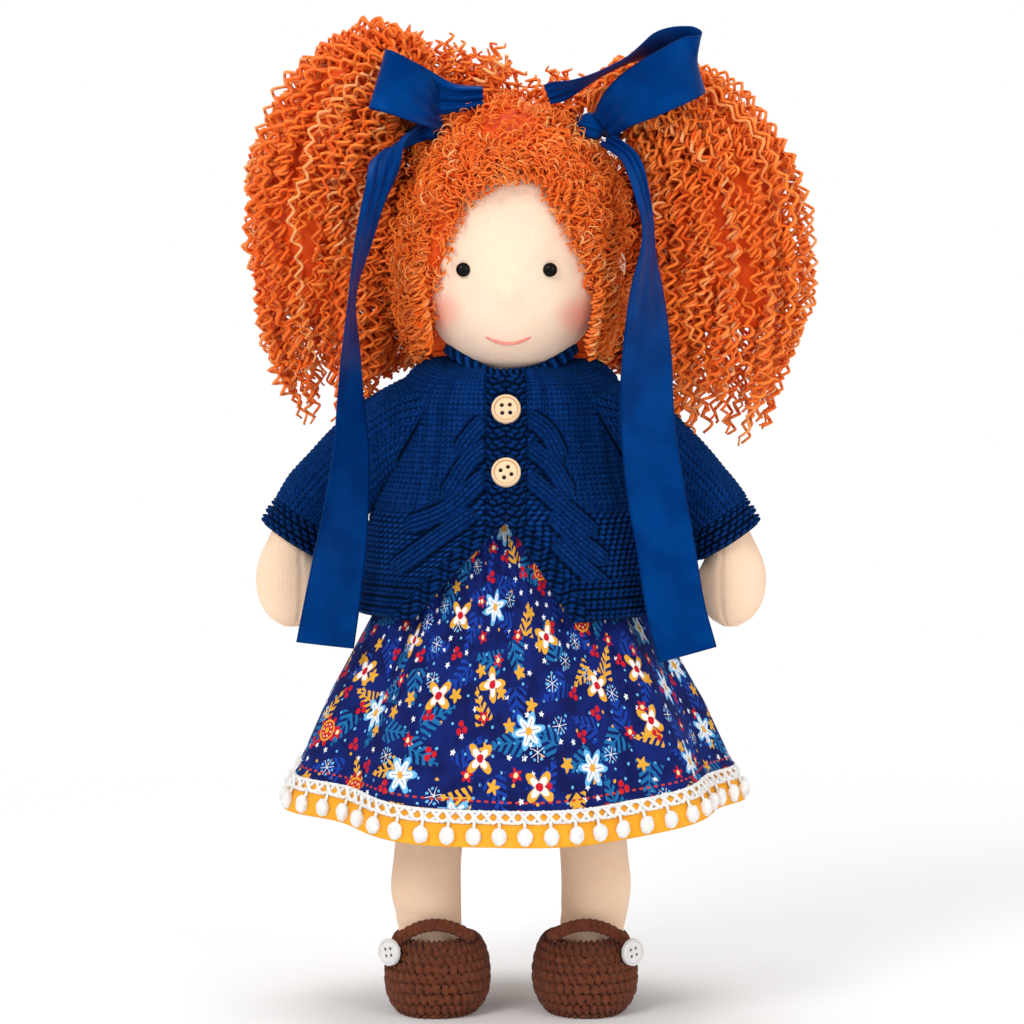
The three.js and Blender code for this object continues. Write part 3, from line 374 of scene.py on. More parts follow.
def place_in_mm(tree):
    source = tree.nodes.new("ShaderNodeTexCoord")
    scaled = add_node(tree, "ShaderNodeVectorMath", {"Scale": 1000.0}, operation="SCALE")
    tree.links.new(source.outputs["Object"], scaled.inputs[0])
    return take(tree, scaled, 0)


def cloth_in_mm(tree):
    source = add_node(tree, "ShaderNodeUVMap", uv_map="cloth")
    scaled = add_node(tree, "ShaderNodeVectorMath", {"Scale": MAP_SPAN}, operation="SCALE")
    tree.links.new(source.outputs["UV"], scaled.inputs[0])
    return take(tree, scaled, 0)


def parts_of(tree, vector):
    node = add_node(tree, "ShaderNodeSeparateXYZ", {0: vector})
    return [take(tree, node, i) for i in range(3)]


def vector_of(tree, x, y, z=0.0):
    return take(tree, add_node(tree, "ShaderNodeCombineXYZ", {0: x, 1: y, 2: z}), 0)


def noise(tree, vector, scale, detail=2.0, rough=0.5):
    inputs = {"Vector": vector, "Scale": scale, "Detail": detail, "Roughness": rough}
    return take(tree, add_node(tree, "ShaderNodeTexNoise", inputs), 0)


def mark_of(tree, name):
    return take(tree, add_node(tree, "ShaderNodeAttribute", attribute_name=name), "Fac")


def group_of(name, inputs, outputs):
    tree = bpy.data.node_groups.new(name, "ShaderNodeTree")
    for key, kind in inputs:
        tree.interface.new_socket(name=key, in_out="INPUT", socket_type=kind)
    for key, kind in outputs:
        tree.interface.new_socket(name=key, in_out="OUTPUT", socket_type=kind)
    return tree, tree.nodes.new("NodeGroupInput"), tree.nodes.new("NodeGroupOutput")


def woven_group():
    """Over and under of crossing threads: |sin| of both directions, every other crossing raised."""
    tree, given, put = group_of(
        "woven_threads",
        [("Place", "NodeSocketVector"), ("Thread", "NodeSocketFloat")],
        [("Height", "NodeSocketFloat"), ("Shade", "NodeSocketFloat")],
    )
    place, thread = take(tree, given, "Place"), take(tree, given, "Thread")
    x, y, _ = parts_of(tree, place)
    u, v = x / thread, y / thread
    across, along = (u * math.pi).sin().size(), (v * math.pi).sin().size()
    crossing = (u * math.pi).cos() * (v * math.pi).cos()
    height = across * (crossing * 0.5 + 0.5) + along * (crossing * -0.5 + 0.5)
    slub = noise(tree, place, 1.3, 3.0)
    plug(tree, height * 0.7 + slub * 0.5, put.inputs["Height"])
    # The shade is partly painted shade, lower where the threads pass under, and partly the slub's tone at random.
    plug(tree, height * 0.35 + slub * 0.65, put.inputs["Shade"])
    return tree


def fibre_group():
    """Loose fibres of spun yarn: fine noise over coarse noise."""
    tree, given, put = group_of(
        "yarn_fibres",
        [("Place", "NodeSocketVector"), ("Fineness", "NodeSocketFloat")],
        [("Height", "NodeSocketFloat"), ("Shade", "NodeSocketFloat")],
    )
    place, fineness = take(tree, given, "Place"), take(tree, given, "Fineness")
    fine = noise(tree, place, fineness, 4.0, 0.65)
    coarse = noise(tree, place, fineness * 0.22, 2.0)
    plug(tree, fine * 0.75 + coarse * 0.25, put.inputs["Height"])
    plug(tree, fine * 0.5 + coarse * 0.5, put.inputs["Shade"])
    return tree


WOVEN, FIBRES = woven_group(), fibre_group()


def effect(tree, group, **inputs):
    node = add_node(tree, "ShaderNodeGroup", node_tree=group)
    for key, value in inputs.items():
        plug(tree, value, node.inputs[key])
    return take(tree, node, "Height"), take(tree, node, "Shade")


def colour(red, green, blue):
    """A display colour, 0 to 255, as the linear numbers a shader takes."""
    return tuple((v / 255 / 12.92) if v / 255 <= 0.04045 else ((v / 255 + 0.055) / 1.055) ** 2.4 for v in (red, green, blue))


def finish_of(name, paint, roughness=0.8, depth=0.3, **sockets):
    """A material whose paint(tree) gives its colour and height; depth is the relief in mm, and the other
    numbers go on the shader's own sockets."""
    material = bpy.data.materials.new(name)
    material.use_nodes = True
    tree = material.node_tree
    shader = tree.nodes["Principled BSDF"]
    shade, height, rough = (*paint(tree), None)[:3]
    plug(tree, shade, shader.inputs["Base Color"])
    plug(tree, roughness if rough is None else rough, shader.inputs["Roughness"])
    bump = add_node(tree, "ShaderNodeBump", {"Height": height, "Distance": depth * MM, "Strength": 1.0})
    tree.links.new(bump.outputs["Normal"], shader.inputs["Normal"])
    for key, value in sockets.items():
        shader.inputs[key.replace("_", " ")].default_value = value
    return material


# Finishes


def skin_paint(face=False):
    """Cotton tricot: a pale ground, fine upright ribs and, on the face, painted shade towards the chin and two round
    blushes.
    """

    def paint(tree):
        place = place_in_mm(tree)
        x, y, z = parts_of(tree, place)
        ribs = ((x + y * 0.6) * (TURN / 0.62)).sin() * 0.5 + 0.5
        rows = (z * (TURN / 0.8)).sin() * 0.5 + 0.5
        fuzz, shade = effect(tree, FIBRES, Place=place, Fineness=2.2)
        ground = (colour(243, 213, 187), colour(251, 227, 202)) if face else (colour(247, 207, 173), colour(253, 222, 193))
        tone = mix(tree, noise(tree, place, 0.07, 3.0), *ground)
        tone = mix(tree, shade.ramp(0.35, 0.7, 0.0, 0.18), tone, colour(226, 194, 168))
        if face:
            # painted shade: the face darkens towards the chin
            low = z.ramp(233, 212, 0, 0.45)
            tone = mix(tree, low, tone, colour(238, 202, 178))
            for middle_x, middle_z in ((-22.9, 229.6), (20.8, 228.6)):
                across, up = (x - middle_x) / 8.4, (z - middle_z) / 7.6
                reach = (across * across + up * up).math("SQRT") + (fuzz - 0.5) * 0.35
                front = y.ramp(0, -8)
                tone = mix(tree, reach.ramp(1.15, 0.1, 0.0, 0.62) * front, tone, colour(246, 152, 128))
        return tone, ribs * 0.35 + rows * 0.12 + fuzz * 0.5

    return paint


def hair_paint(tree):
    """Mohair: each lock has its own tint, with the highest tints painted as highlights, and painted shade the deeper a
    lock lies in the hair.
    """
    place = place_in_mm(tree)
    tint, depth = mark_of(tree, "tint"), mark_of(tree, "depth")
    fuzz, shade = effect(tree, FIBRES, Place=place, Fineness=1.4)
    tone = mix(tree, tint, colour(243, 84, 8), colour(255, 138, 46))
    # painted highlight: the locks of the highest tint turn pale peach
    tone = mix(tree, tint.ramp(0.72, 1.0, 0, 0.8), tone, colour(255, 196, 136))
    tone = mix(tree, shade.ramp(0.4, 0.62, 0, 0.4), tone, colour(255, 160, 86))
    # painted shade: the lower a lock's depth, the deeper in the hair it lies and the darker red it turns
    tone = mix(tree, depth.ramp(0.8, 0.1, 0, 0.85), tone, colour(214, 62, 4))
    return tone, fuzz


def knit_paint(tree):
    """Navy wool: painted shade in the hollows between stitches and painted highlights on their tops, with a dusting of
    loose fibres.
    """
    place = place_in_mm(tree)
    relief = mark_of(tree, "relief")
    fuzz, shade = effect(tree, FIBRES, Place=place, Fineness=2.0)
    tone = mix(tree, shade.ramp(0.3, 0.7), colour(4, 28, 74), colour(8, 48, 110))
    # painted shade: low relief, in the hollows, turns nearly black
    tone = mix(tree, relief.ramp(0.68, 0.08, 0, 0.92), tone, colour(0, 5, 20))
    # painted highlight: the highest relief, on the stitches' tops, turns bright blue
    tone = mix(tree, relief.ramp(0.78, 1.0, 0, 0.5), tone, colour(20, 82, 160))
    return tone, fuzz


def crochet_paint(tree):
    """Brown wool: painted shade in the hollows between stitches."""
    place = place_in_mm(tree)
    relief = mark_of(tree, "relief")
    fuzz, shade = effect(tree, FIBRES, Place=place, Fineness=1.8)
    tone = mix(tree, shade.ramp(0.3, 0.7), colour(92, 45, 27), colour(120, 65, 42))
    # painted shade: low relief, in the hollows, turns nearly black brown
    tone = mix(tree, relief.ramp(0.55, 0.0, 0, 0.9), tone, colour(30, 11, 5))
    return tone, fuzz


def lace_paint(tree):
    place = place_in_mm(tree)
    fuzz, shade = effect(tree, FIBRES, Place=place, Fineness=2.2)
    return mix(tree, shade.ramp(0.3, 0.7), colour(226, 224, 221), colour(252, 251, 249)), fuzz


def thread_paint(dark, pale):
    def paint(tree):
        place = place_in_mm(tree)
        fuzz, shade = effect(tree, FIBRES, Place=place, Fineness=3.0)
        return mix(tree, shade.ramp(0.3, 0.7), colour(*dark), colour(*pale)), fuzz

    return paint


def ribbon_paint(tree):
    """Satin: floats that run along the ribbon, soft patches of painted sheen, and a woven selvedge on both edges."""
    cloth = cloth_in_mm(tree)
    u, v, _ = parts_of(tree, cloth)
    streak = noise(tree, vector_of(tree, u * 5.0, v * 0.35), 1.0, 3.0)
    weave, _ = effect(tree, WOVEN, Place=cloth, Thread=0.34)
    tone = mix(tree, streak, colour(0, 28, 82), colour(0, 48, 112))
    # painted sheen: soft patches turn paler blue
    tone = mix(tree, noise(tree, cloth, 0.06, 2.0).ramp(0.35, 0.65, 0, 0.4), tone, colour(0, 66, 140))
    edge = (u - 9.75).size()
    selvedge = edge.ramp(8.9, 9.2)
    tone = mix(tree, selvedge * 0.35, tone, colour(2, 24, 62))
    stitch = (v * (TURN / 1.1)).sin() * 0.5 + 0.5
    return tone, weave * 0.25 + streak * 0.3 + selvedge * stitch * 0.9, streak.ramp(0.3, 0.7, 0.36, 0.46)


def mustard_paint(tree):
    cloth = cloth_in_mm(tree)
    weave, shade = effect(tree, WOVEN, Place=cloth, Thread=0.42)
    # the weave's shade, partly painted shade where threads lie low and partly slub tone, sets the mustard's tone
    tone = mix(tree, shade.ramp(0.3, 0.8), colour(240, 158, 30), colour(255, 184, 54))
    tone = mix(tree, noise(tree, cloth, 0.05, 2.0).ramp(0.4, 0.7, 0, 0.25), tone, colour(232, 146, 24))
    return tone, weave


class Motifs:
    """Small figures strewn over the cloth: one in each cell of a turned lattice, moved and turned by chance.
    Each figure is where its outline, a radius that changes with the angle, lies beyond the point."""

    def __init__(self, tree, cloth, cell, turn, seed):
        u, v, _ = parts_of(tree, cloth)
        c, s = math.cos(turn), math.sin(turn)
        p, q = (u * c + v * s) / cell + seed, (v * c - u * s) / cell + seed * 0.7
        q = q + p.math("FLOOR") * 0.5
        home = vector_of(tree, p.math("FLOOR"), q.math("FLOOR"), seed)
        chance = add_node(tree, "ShaderNodeTexWhiteNoise", {"Vector": home}, noise_dimensions="3D")
        a, b, spin = parts_of(tree, take(tree, chance, "Color"))
        self.kind = take(tree, chance, "Value")
        x = (p.part() - 0.5 - (a - 0.5) * 0.34) * cell
        y = (q.part() - 0.5 - (b - 0.5) * 0.34) * cell
        self.reach = (x * x + y * y).math("SQRT")
        self.angle = y.math("ARCTAN2", x) + spin * TURN

    def some(self, low, high):
        """1 in the cells whose chance number lies from low to high."""
        return self.kind.math("GREATER_THAN", low) * self.kind.math("LESS_THAN", high)

    def flower(self, radius, petals, depth=0.26):
        edge = ((self.angle * petals).cos() * depth + (1 - depth)) * radius
        return self.reach.below(edge, 0.25)

    def star(self, radius, points=5, inner=0.42):
        share = ((self.angle * (points / TURN)).part() - 0.5).size() * 2.0
        return self.reach.below(share * (radius * (1 - inner)) + radius * inner, 0.22)

    def rays(self, radius, arms, width):
        near = (self.angle * (arms / 2)).sin().size() * self.reach
        return near.below(width, 0.2) * self.reach.below(radius, 0.3)

    def ring(self, radius, width):
        return (self.reach - radius).size().below(width, 0.2)

    def dot(self, radius):
        return self.reach.below(radius, 0.25)

    def dots_round(self, orbit, count, radius):
        """Dots on a ring: the angle folded to one of count parts, measured from its middle."""
        share = ((self.angle * (count / TURN)).part() - 0.5) * (TURN / count)
        x, y = share.cos() * self.reach - orbit, share.sin() * self.reach
        return (x * x + y * y).math("SQRT").below(radius, 0.2)

    def sprig(self, length, width):
        """A stem with leaf pairs: leaves are where a slanted wave along the stem beats its distance from it."""
        x, y = self.angle.cos() * self.reach, self.angle.sin() * self.reach
        away = y.size()
        leaf = ((x - away * 0.9) * (TURN / 2.6)).sin() * 0.5 + 0.5
        taper = x / length * -0.5 + 0.62
        inside = away.below(taper * width, 0.3) * x.size().below(length, 0.5)
        return inside * (leaf.ramp(0.35, 0.6) + away.below(0.22, 0.12)).math("MINIMUM", 1.0)


WHITE, CREAM, RED, GOLD = colour(244, 246, 250), colour(250, 226, 170), colour(206, 26, 34), colour(236, 172, 52)
SKY, TEAL, ROYAL, NAVY = colour(112, 190, 240), colour(26, 110, 168), colour(22, 62, 160), colour(10, 20, 78)


def print_paint(tree):
    """A strewn print on navy: leaf sprigs, six-petalled flowers, gold stars, rosettes, berries and fine dots."""
    cloth = cloth_in_mm(tree)
    weave, shade = effect(tree, WOVEN, Place=cloth, Thread=0.36)
    wobble = noise(tree, cloth, 0.5, 3.0)
    shift = vector_of(tree, (wobble - 0.5) * 1.1, (wobble - 0.5) * -0.8)
    moved = take(tree, add_node(tree, "ShaderNodeVectorMath", {0: cloth, 1: shift}, operation="ADD"), 0)
    tone = mix(tree, noise(tree, cloth, 0.12, 3.0).ramp(0.35, 0.65), NAVY, colour(14, 34, 108))

    dust = Motifs(tree, moved, 4.3, 0.5, 3.1)
    tone = mix(tree, dust.dot(0.42) * dust.some(0.2, 0.62), tone, SKY)
    tone = mix(tree, dust.star(0.95) * dust.some(0.66, 0.84), tone, WHITE)
    tone = mix(tree, dust.dot(0.5) * dust.some(0.9, 1.0), tone, GOLD)

    leaves = Motifs(tree, moved, 12.5, 0.25, 8.4)
    tone = mix(tree, leaves.sprig(6.0, 4.4) * leaves.some(0.0, 0.36), tone, TEAL)
    tone = mix(tree, leaves.sprig(5.2, 3.2) * leaves.some(0.36, 0.62), tone, GOLD)
    tone = mix(tree, leaves.sprig(5.8, 4.2) * leaves.some(0.62, 1.0), tone, ROYAL)

    small = Motifs(tree, moved, 9.6, 0.9, 5.2)
    berries = small.dots_round(1.25, 3, 0.92)
    tone = mix(tree, berries * small.some(0.0, 0.3), tone, RED)
    tone = mix(tree, small.star(2.3) * small.some(0.3, 0.52), tone, GOLD)
    tone = mix(tree, small.rays(2.5, 6, 0.26) * small.some(0.52, 0.76), tone, WHITE)
    tone = mix(tree, small.dots_round(2.1, 6, 0.4) * small.some(0.52, 0.76), tone, SKY)
    tone = mix(tree, small.flower(2.1, 5) * small.some(0.76, 1.0), tone, RED)
    tone = mix(tree, small.dot(0.7) * small.some(0.76, 1.0), tone, CREAM)

    large = Motifs(tree, moved, 20.5, 0.15, 1.7)
    petals = large.flower(5.6, 6)
    tone = mix(tree, petals * large.some(0.0, 0.4), tone, SKY)
    tone = mix(tree, large.flower(4.3, 6) * large.some(0.0, 0.4), tone, WHITE)
    tone = mix(tree, large.rays(3.4, 6, 0.3) * large.some(0.0, 0.4), tone, TEAL)
    tone = mix(tree, large.dot(1.1) * large.some(0.0, 0.4), tone, GOLD)
    tone = mix(tree, large.flower(4.9, 8, 0.2) * large.some(0.4, 0.68), tone, RED)
    tone = mix(tree, large.ring(3.0, 0.3) * large.some(0.4, 0.68), tone, GOLD)
    tone = mix(tree, large.dots_round(1.9, 8, 0.34) * large.some(0.4, 0.68), tone, CREAM)
    tone = mix(tree, large.dot(0.9) * large.some(0.4, 0.68), tone, GOLD)
    tone = mix(tree, large.flower(5.2, 4, 0.34) * large.some(0.68, 1.0), tone, GOLD)
    tone = mix(tree, large.flower(3.4, 4, 0.3) * large.some(0.68, 1.0), tone, WHITE)
    tone = mix(tree, large.dot(1.2) * large.some(0.68, 1.0), tone, RED)

    # partly painted shade: darker towards navy where the weave's threads lie low, partly slub tone
    tone = mix(tree, shade.ramp(0.2, 0.9, 0.16, 0.0), tone, NAVY)
    across, along, _ = parts_of(tree, cloth)
    stitched = (along - (SKIRT_LENGTH - 2.2)).size().below(0.28, 0.1) * (across * (TURN / 2.4)).sin().ramp(-0.2, 0.1)
    tone = mix(tree, stitched, tone, colour(196, 60, 40))
    return tone, weave


def wood_paint(tree):
    """Turned pale wood: fine grain lines, a groove inside the rim darkened to tan as painted shade, and holes painted
    near black as shade.
    """
    place = place_in_mm(tree)
    x, _, z = parts_of(tree, place)
    grain = noise(tree, vector_of(tree, x * 0.5, z * 6.0), 0.8, 4.0)
    groove = mark_of(tree, "relief")
    tone = mix(tree, grain, colour(228, 188, 142), colour(252, 222, 184))
    # painted shade: the groove inside the rim turns dark tan
    tone = mix(tree, groove.ramp(0.5, 0.0, 0, 0.75), tone, colour(176, 118, 70))
    # painted shade: the holes turn near black
    tone = mix(tree, mark_of(tree, "hole"), tone, colour(26, 16, 12))
    return tone, grain


def white_button_paint(tree):
    place = place_in_mm(tree)
    tone = mix(tree, noise(tree, place, 0.5, 2.0), colour(214, 212, 210), colour(240, 239, 238))
    # painted shade: the groove inside the rim turns grey
    tone = mix(tree, mark_of(tree, "relief").ramp(0.5, 0.0, 0, 0.4), tone, colour(168, 166, 166))
    # painted shade: the holes turn dark grey
    tone = mix(tree, mark_of(tree, "hole"), tone, colour(60, 58, 60))
    return tone, noise(tree, place, 3.0)


def eye_paint(tree):
    place = place_in_mm(tree)
    cloud = noise(tree, place, 0.8)
    return mix(tree, cloud, colour(3, 3, 3), colour(10, 9, 10)), cloud


def wool_paint(tree):
    place = place_in_mm(tree)
    fuzz, shade = effect(tree, FIBRES, Place=place, Fineness=0.9)
    return mix(tree, shade.ramp(0.3, 0.7), colour(226, 216, 196), colour(248, 242, 228)), fuzz


SKIN = finish_of("cotton_skin", skin_paint(), 0.85, 0.12, Specular_IOR_Level=0.2, Sheen_Weight=0.15)
FACE = finish_of("cotton_face", skin_paint(True), 0.85, 0.12, Specular_IOR_Level=0.2, Sheen_Weight=0.15)
HAIR = finish_of("mohair_curls", hair_paint, 0.5, 0.2, Specular_IOR_Level=0.4, Specular_Tint=(1, 0.62, 0.3, 1),
                 Sheen_Weight=0.15, Sheen_Tint=(1, 0.5, 0.2, 1))
KNIT = finish_of("navy_knit", knit_paint, 0.9, 0.35, Specular_IOR_Level=0.15, Specular_Tint=(0.1, 0.4, 1, 1),
                 Sheen_Weight=0.1, Sheen_Tint=(0.1, 0.4, 1, 1))
CROCHET = finish_of("brown_crochet", crochet_paint, 0.9, 0.4, Specular_IOR_Level=0.15, Sheen_Weight=0.1)
LACE = finish_of("white_crochet_lace", lace_paint, 0.85, 0.3, Specular_IOR_Level=0.2, Sheen_Weight=0.2)
MOUTH = finish_of("pink_thread", thread_paint((222, 122, 110), (244, 160, 146)), 0.7, 0.15)
ELASTIC = finish_of("navy_elastic", thread_paint((8, 20, 48), (22, 44, 88)), 0.8, 0.2)
WHITE_THREAD = finish_of("white_thread", thread_paint((226, 224, 220), (248, 246, 242)), 0.7, 0.15)
RIBBON = finish_of("navy_satin", ribbon_paint, 0.4, 0.05, Specular_IOR_Level=0.3, Specular_Tint=(0.02, 0.3, 1, 1), Anisotropic=0.5)
PRINT = finish_of("printed_cotton", print_paint, 0.8, 0.07, Specular_IOR_Level=0.12, Sheen_Weight=0.0)
MUSTARD = finish_of("mustard_cotton", mustard_paint, 0.8, 0.09, Specular_IOR_Level=0.2, Sheen_Weight=0.05)
WOOD = finish_of("pale_wood", wood_paint, 0.45, 0.05, Specular_IOR_Level=0.4)
WHITE_BUTTON = finish_of("white_button_plastic", white_button_paint, 0.3, 0.02, Coat_Weight=0.2)
EYE = finish_of("black_bead", eye_paint, 0.16, 0.01, Specular_IOR_Level=0.12)
WOOL = finish_of("wool_filling", wool_paint, 0.95, 0.6, Sheen_Weight=0.2)


# Head and face

HEAD_SHAPE = [
    (0, 0.4), (0.04, 0.62), (0.1, 0.79), (0.2, 0.92), (0.33, 0.99), (0.5, 1), (0.68, 0.92), (0.83, 0.73), (0.94, 0.44), (1, 0.06),
]


def head_width_at(z):
    """Share of the full width at a height, read off the smooth profile."""
    fine = spline(HEAD_SHAPE, np.linspace(0, len(HEAD_SHAPE) - 1, 200))
    return np.interp((z - CHIN_Z) / HEAD_HEIGHT, fine[:, 0], fine[:, 1])


def jaw(z):
    """What is left of the width towards the chin: 1 - 0.24 (1 - ease), with ease from 4 mm below to 26 mm above."""
    return 1 - 0.24 * (1 - ease(CHIN_Z - 4, CHIN_Z + 26, z))


def face_y(x, z):
    """Depth of the face at x and z: the ellipse of that level, with the nose's bump."""
    share = head_width_at(z)
    inside = np.clip(1 - (x / (share * jaw(z) * HEAD_HALF_WIDTH)) ** 2, 0, 1)
    return -share * HEAD_HALF_DEPTH * np.sqrt(inside) - 1.5 * bell(z - NOSE_Z, 4.2) * bell(x + 1, 3.4)


def within_head(points):
    """Points drawn in level by level, so that they lie within 0.93 of the head's skin."""
    x, y, z = points.T
    share = np.hypot(x / (HEAD_HALF_WIDTH * jaw(z)), y / HEAD_HALF_DEPTH)
    draw = np.minimum(1, 0.93 * head_width_at(z) / np.maximum(share, 1e-6))
    return points * np.stack([draw, draw, np.ones_like(draw)], axis=1)


def make_head():
    """Level ellipses up the profile, with the nose bump, full cheeks and a shallow dent at the eye line."""
    rows = [(NECK_PLUG_Z, NECK_RADIUS, NECK_RADIUS), (204, NECK_RADIUS, NECK_RADIUS), (208, NECK_RADIUS + 0.4, NECK_RADIUS + 0.4)]
    fine = spline(HEAD_SHAPE, np.linspace(0, len(HEAD_SHAPE) - 1, 90))
    rows += [(CHIN_Z + t * HEAD_HEIGHT, f * jaw(CHIN_Z + t * HEAD_HEIGHT) * HEAD_HALF_WIDTH, f * HEAD_HALF_DEPTH) for t, f in fine]
    z, half_x, half_y = (column[:, None] for column in np.array(rows).T)
    a = circle(192)[None]
    x, y = half_x * np.sin(a), -half_y * np.cos(a)
    front = ease(0.2, 0.9, np.cos(a))
    above = ease(CHIN_Z, CHIN_Z + 6, z)
    out = 1.5 * bell(z - NOSE_Z, 4.2) * bell(x + 1, 3.4) * front
    out += above * front * (0.8 * bell(z - 226, 9) * bell(np.abs(x) - 19, 9) - 0.7 * bell(z - 244, 7) * bell(np.abs(x) - 14, 7))
    out += 0.25 * above * lumps(np.stack(np.broadcast_arrays(x, y, z), axis=-1), 13, 2)
    grid = np.stack(np.broadcast_arrays(x + out * np.sin(a), y - out * np.cos(a), z), axis=-1)
    head = surface("head", grid, wrap=True, ends=True, material=FACE, body="head", stands_for=["head_skin"], slot="skin")


def ball(middle, half, rows=24, columns=36):
    """Grid of an ellipsoid: latitude by longitude, without its poles."""
    latitude = np.linspace(-math.pi / 2, math.pi / 2, rows + 2)[1:-1, None]
    longitude = circle(columns)[None]
    way = np.stack(np.broadcast_arrays(np.cos(latitude) * np.cos(longitude), np.cos(latitude) * np.sin(longitude), np.sin(latitude)), axis=-1)
    return np.asarray(middle) + way * np.asarray(half), way


def make_face():
    for side, x in (("left", -15.3), ("right", 12.5)):
        grid, _ = ball((x, face_y(x, EYE_Z) - 0.1, EYE_Z), (2.3, 1.7, 2.3))
        surface(f"eye_bead_{side}", grid, wrap=True, ends=True, material=EYE, body="head", stands_for=[f"eye_{side}"], slot="eye")
    t = np.linspace(-1, 1, 60)
    x = -0.8 + t * 7.2
    z = MOUTH_Z + 2.3 * t * t
    y = face_y(x, z) - 0.25 + 0.7 * np.abs(t) ** 8
    path = np.stack([x, y, z], axis=-1)[None]
    strands = []
    for phase in (0, math.pi):
        turn = np.linspace(0, TURN * 6, 60) + phase
        twist = path + 0.22 * np.stack([0 * turn, np.cos(turn), np.sin(turn)], axis=-1)
        strands.append(tubes(twist, np.array([0.0, -1.0, 0.0]) + 0 * twist, np.full((1, 60), 0.36), 8))
    p, q, f = merged(strands)
    piece("mouth", p, q, f, material=MOUTH, body="head", stands_for=["mouth_thread"], slot="pink_thread")
    for side, sign in (("left", -1), ("right", 1)):
        grid, way = ball((sign * 34.5, -9.0, 244.0), (3.2, 2.7, 5.0))
        dent = bell(way[..., 0] * sign - 0.7, 0.5) * bell(way[..., 2], 0.55) * (way[..., 1] < 0.4)
        grid = grid - 1.0 * dent[..., None] * way
        surface(f"ear_{side}_skin", grid, wrap=True, ends=True, material=FACE, body="head", stands_for=[f"ear_{side}"], slot="skin")


# Hair


PIGTAILS = {
    "left": [
        (28.5, 288.5, 4, 2, 4), (34, 299, 13, 5, 12), (42, 303, 20, 8, 19), (52, 294, 23, 9, 24), (59.5, 275, 26, 8.5, 26.5),
        (62, 252, 26, 8, 27), (61, 230, 23, 9, 25), (60, 213, 18, 9, 21), (58, 198, 13, 9, 16),
    ],
    "right": [
        (28.5, 288.5, 4, 2, 4), (34, 295, 11, 5, 12), (43, 296, 17, 8, 19), (56, 289, 20, 9, 24), (67, 272, 25, 8.5, 26.5),
        (70.5, 249, 27, 8, 27), (70, 226, 25, 9, 25), (69, 208, 20, 9, 21), (67, 192, 14, 9, 16),
    ],
}


def curls(centre, hint, radius, pitch, phase, thick):
    """Corkscrews round centre lines (locks, steps, 3): centre + radius * (cos a * side + sin a * other), where a grows
    with the length of the line by a full turn each pitch. Both ends draw in to the line."""
    side, other = line_frames(centre, hint)
    step = np.linalg.norm(np.diff(centre, axis=1), axis=-1)
    run = np.concatenate([np.zeros((len(centre), 1)), np.cumsum(step, axis=1)], axis=1)
    a = run / pitch[:, None] * TURN + phase[:, None]
    share = np.linspace(0, 1, centre.shape[1])[None]
    wide = radius[:, None] * ease(0, 0.12, share) * (1 - 0.2 * ease(0.8, 1, share))
    out = side * np.cos(a)[..., None] + other * np.sin(a)[..., None]
    path = centre + out * wide[..., None]
    width = thick[:, None] * (0.55 + 0.45 * ease(0, 0.06, share)) * (1 - 0.35 * ease(0.93, 1, share))
    return tubes(path, out, width, 3)


def lock_marks(count, steps, tint, depth, sides=3):
    """One tint for each lock and one depth for each step of it, spread to the points of its rings; the hair's colour
    turns low depths into painted shade and the highest tints into painted highlight.
    """
    return {
        "tint": np.broadcast_to(tint[:, None, None], (count, steps, sides)).reshape(-1),
        "depth": np.broadcast_to(depth[..., None], (count, steps, sides)).reshape(-1),
    }


def hank(side, at, p, q):
    """A place in a pigtail: its section at a share of the way from the tie to the tips is an ellipse square to the
    middle line, p across it towards the outside and q along Y, each in shares of the half widths."""
    rows = np.array(PIGTAILS[side], float)
    x, z, wide, y, deep = np.moveaxis(spline(rows, np.asarray(at).ravel() * (len(rows) - 1)).reshape(np.shape(at) + (5,)), -1, 0)
    ahead = spline(rows, (np.asarray(at).ravel() + 0.01) * (len(rows) - 1)).reshape(np.shape(at) + (5,))
    behind = spline(rows, (np.asarray(at).ravel() - 0.01) * (len(rows) - 1)).reshape(np.shape(at) + (5,))
    run, fall = ahead[..., 0] - behind[..., 0], ahead[..., 1] - behind[..., 1]
    size = np.hypot(run, fall) + 1e-9
    sign = -1 if side == "left" else 1
    return np.stack([sign * (x - fall / size * wide * p), y + deep * q, z + run / size * wide * p], axis=-1)


def either_side(count):
    """-1 or 1 by chance for each of count lines."""
    return np.where(rng.random(count) < 0.5, -1.0, 1.0)[:, None]


def wander(line, size, amount):
    """Moves lines sideways by smooth noise that neighbours share, and by noise of their own from chance offsets."""
    own = rng.uniform(-90, 90, (len(line), 1, 3))
    shared = np.stack([lumps(line + 7 * k, size, 3 + k) for k in range(3)], axis=-1)
    single = np.stack([lumps(line + own + 5 * k, size * 0.8, 6 + k) for k in range(3)], axis=-1)
    return line + amount * (0.55 * shared + 0.75 * single)


def spaced(lines, length, steps):
    """The same lines with steps evenly spaced from their start, over a length in mm or as far as they go."""
    out = np.empty((len(lines), steps, 3))
    for k, line in enumerate(lines):
        run = run_along(line)
        at = np.linspace(0, min(length[k], run[-1]), steps)
        out[k] = np.stack([np.interp(at, run, line[:, axis]) for axis in range(3)], axis=-1)
    return out


def pigtail_middle(side, line):
    """Directions out of a pigtail at points, from the nearest point of its middle line."""
    middle = hank(side, np.linspace(0.05, 1, 24), np.zeros(24), np.zeros(24))
    near = np.argmin(((line[..., None, :] - middle) ** 2).sum(-1), axis=-1)
    return unit(line - middle[near] + 1e-4)


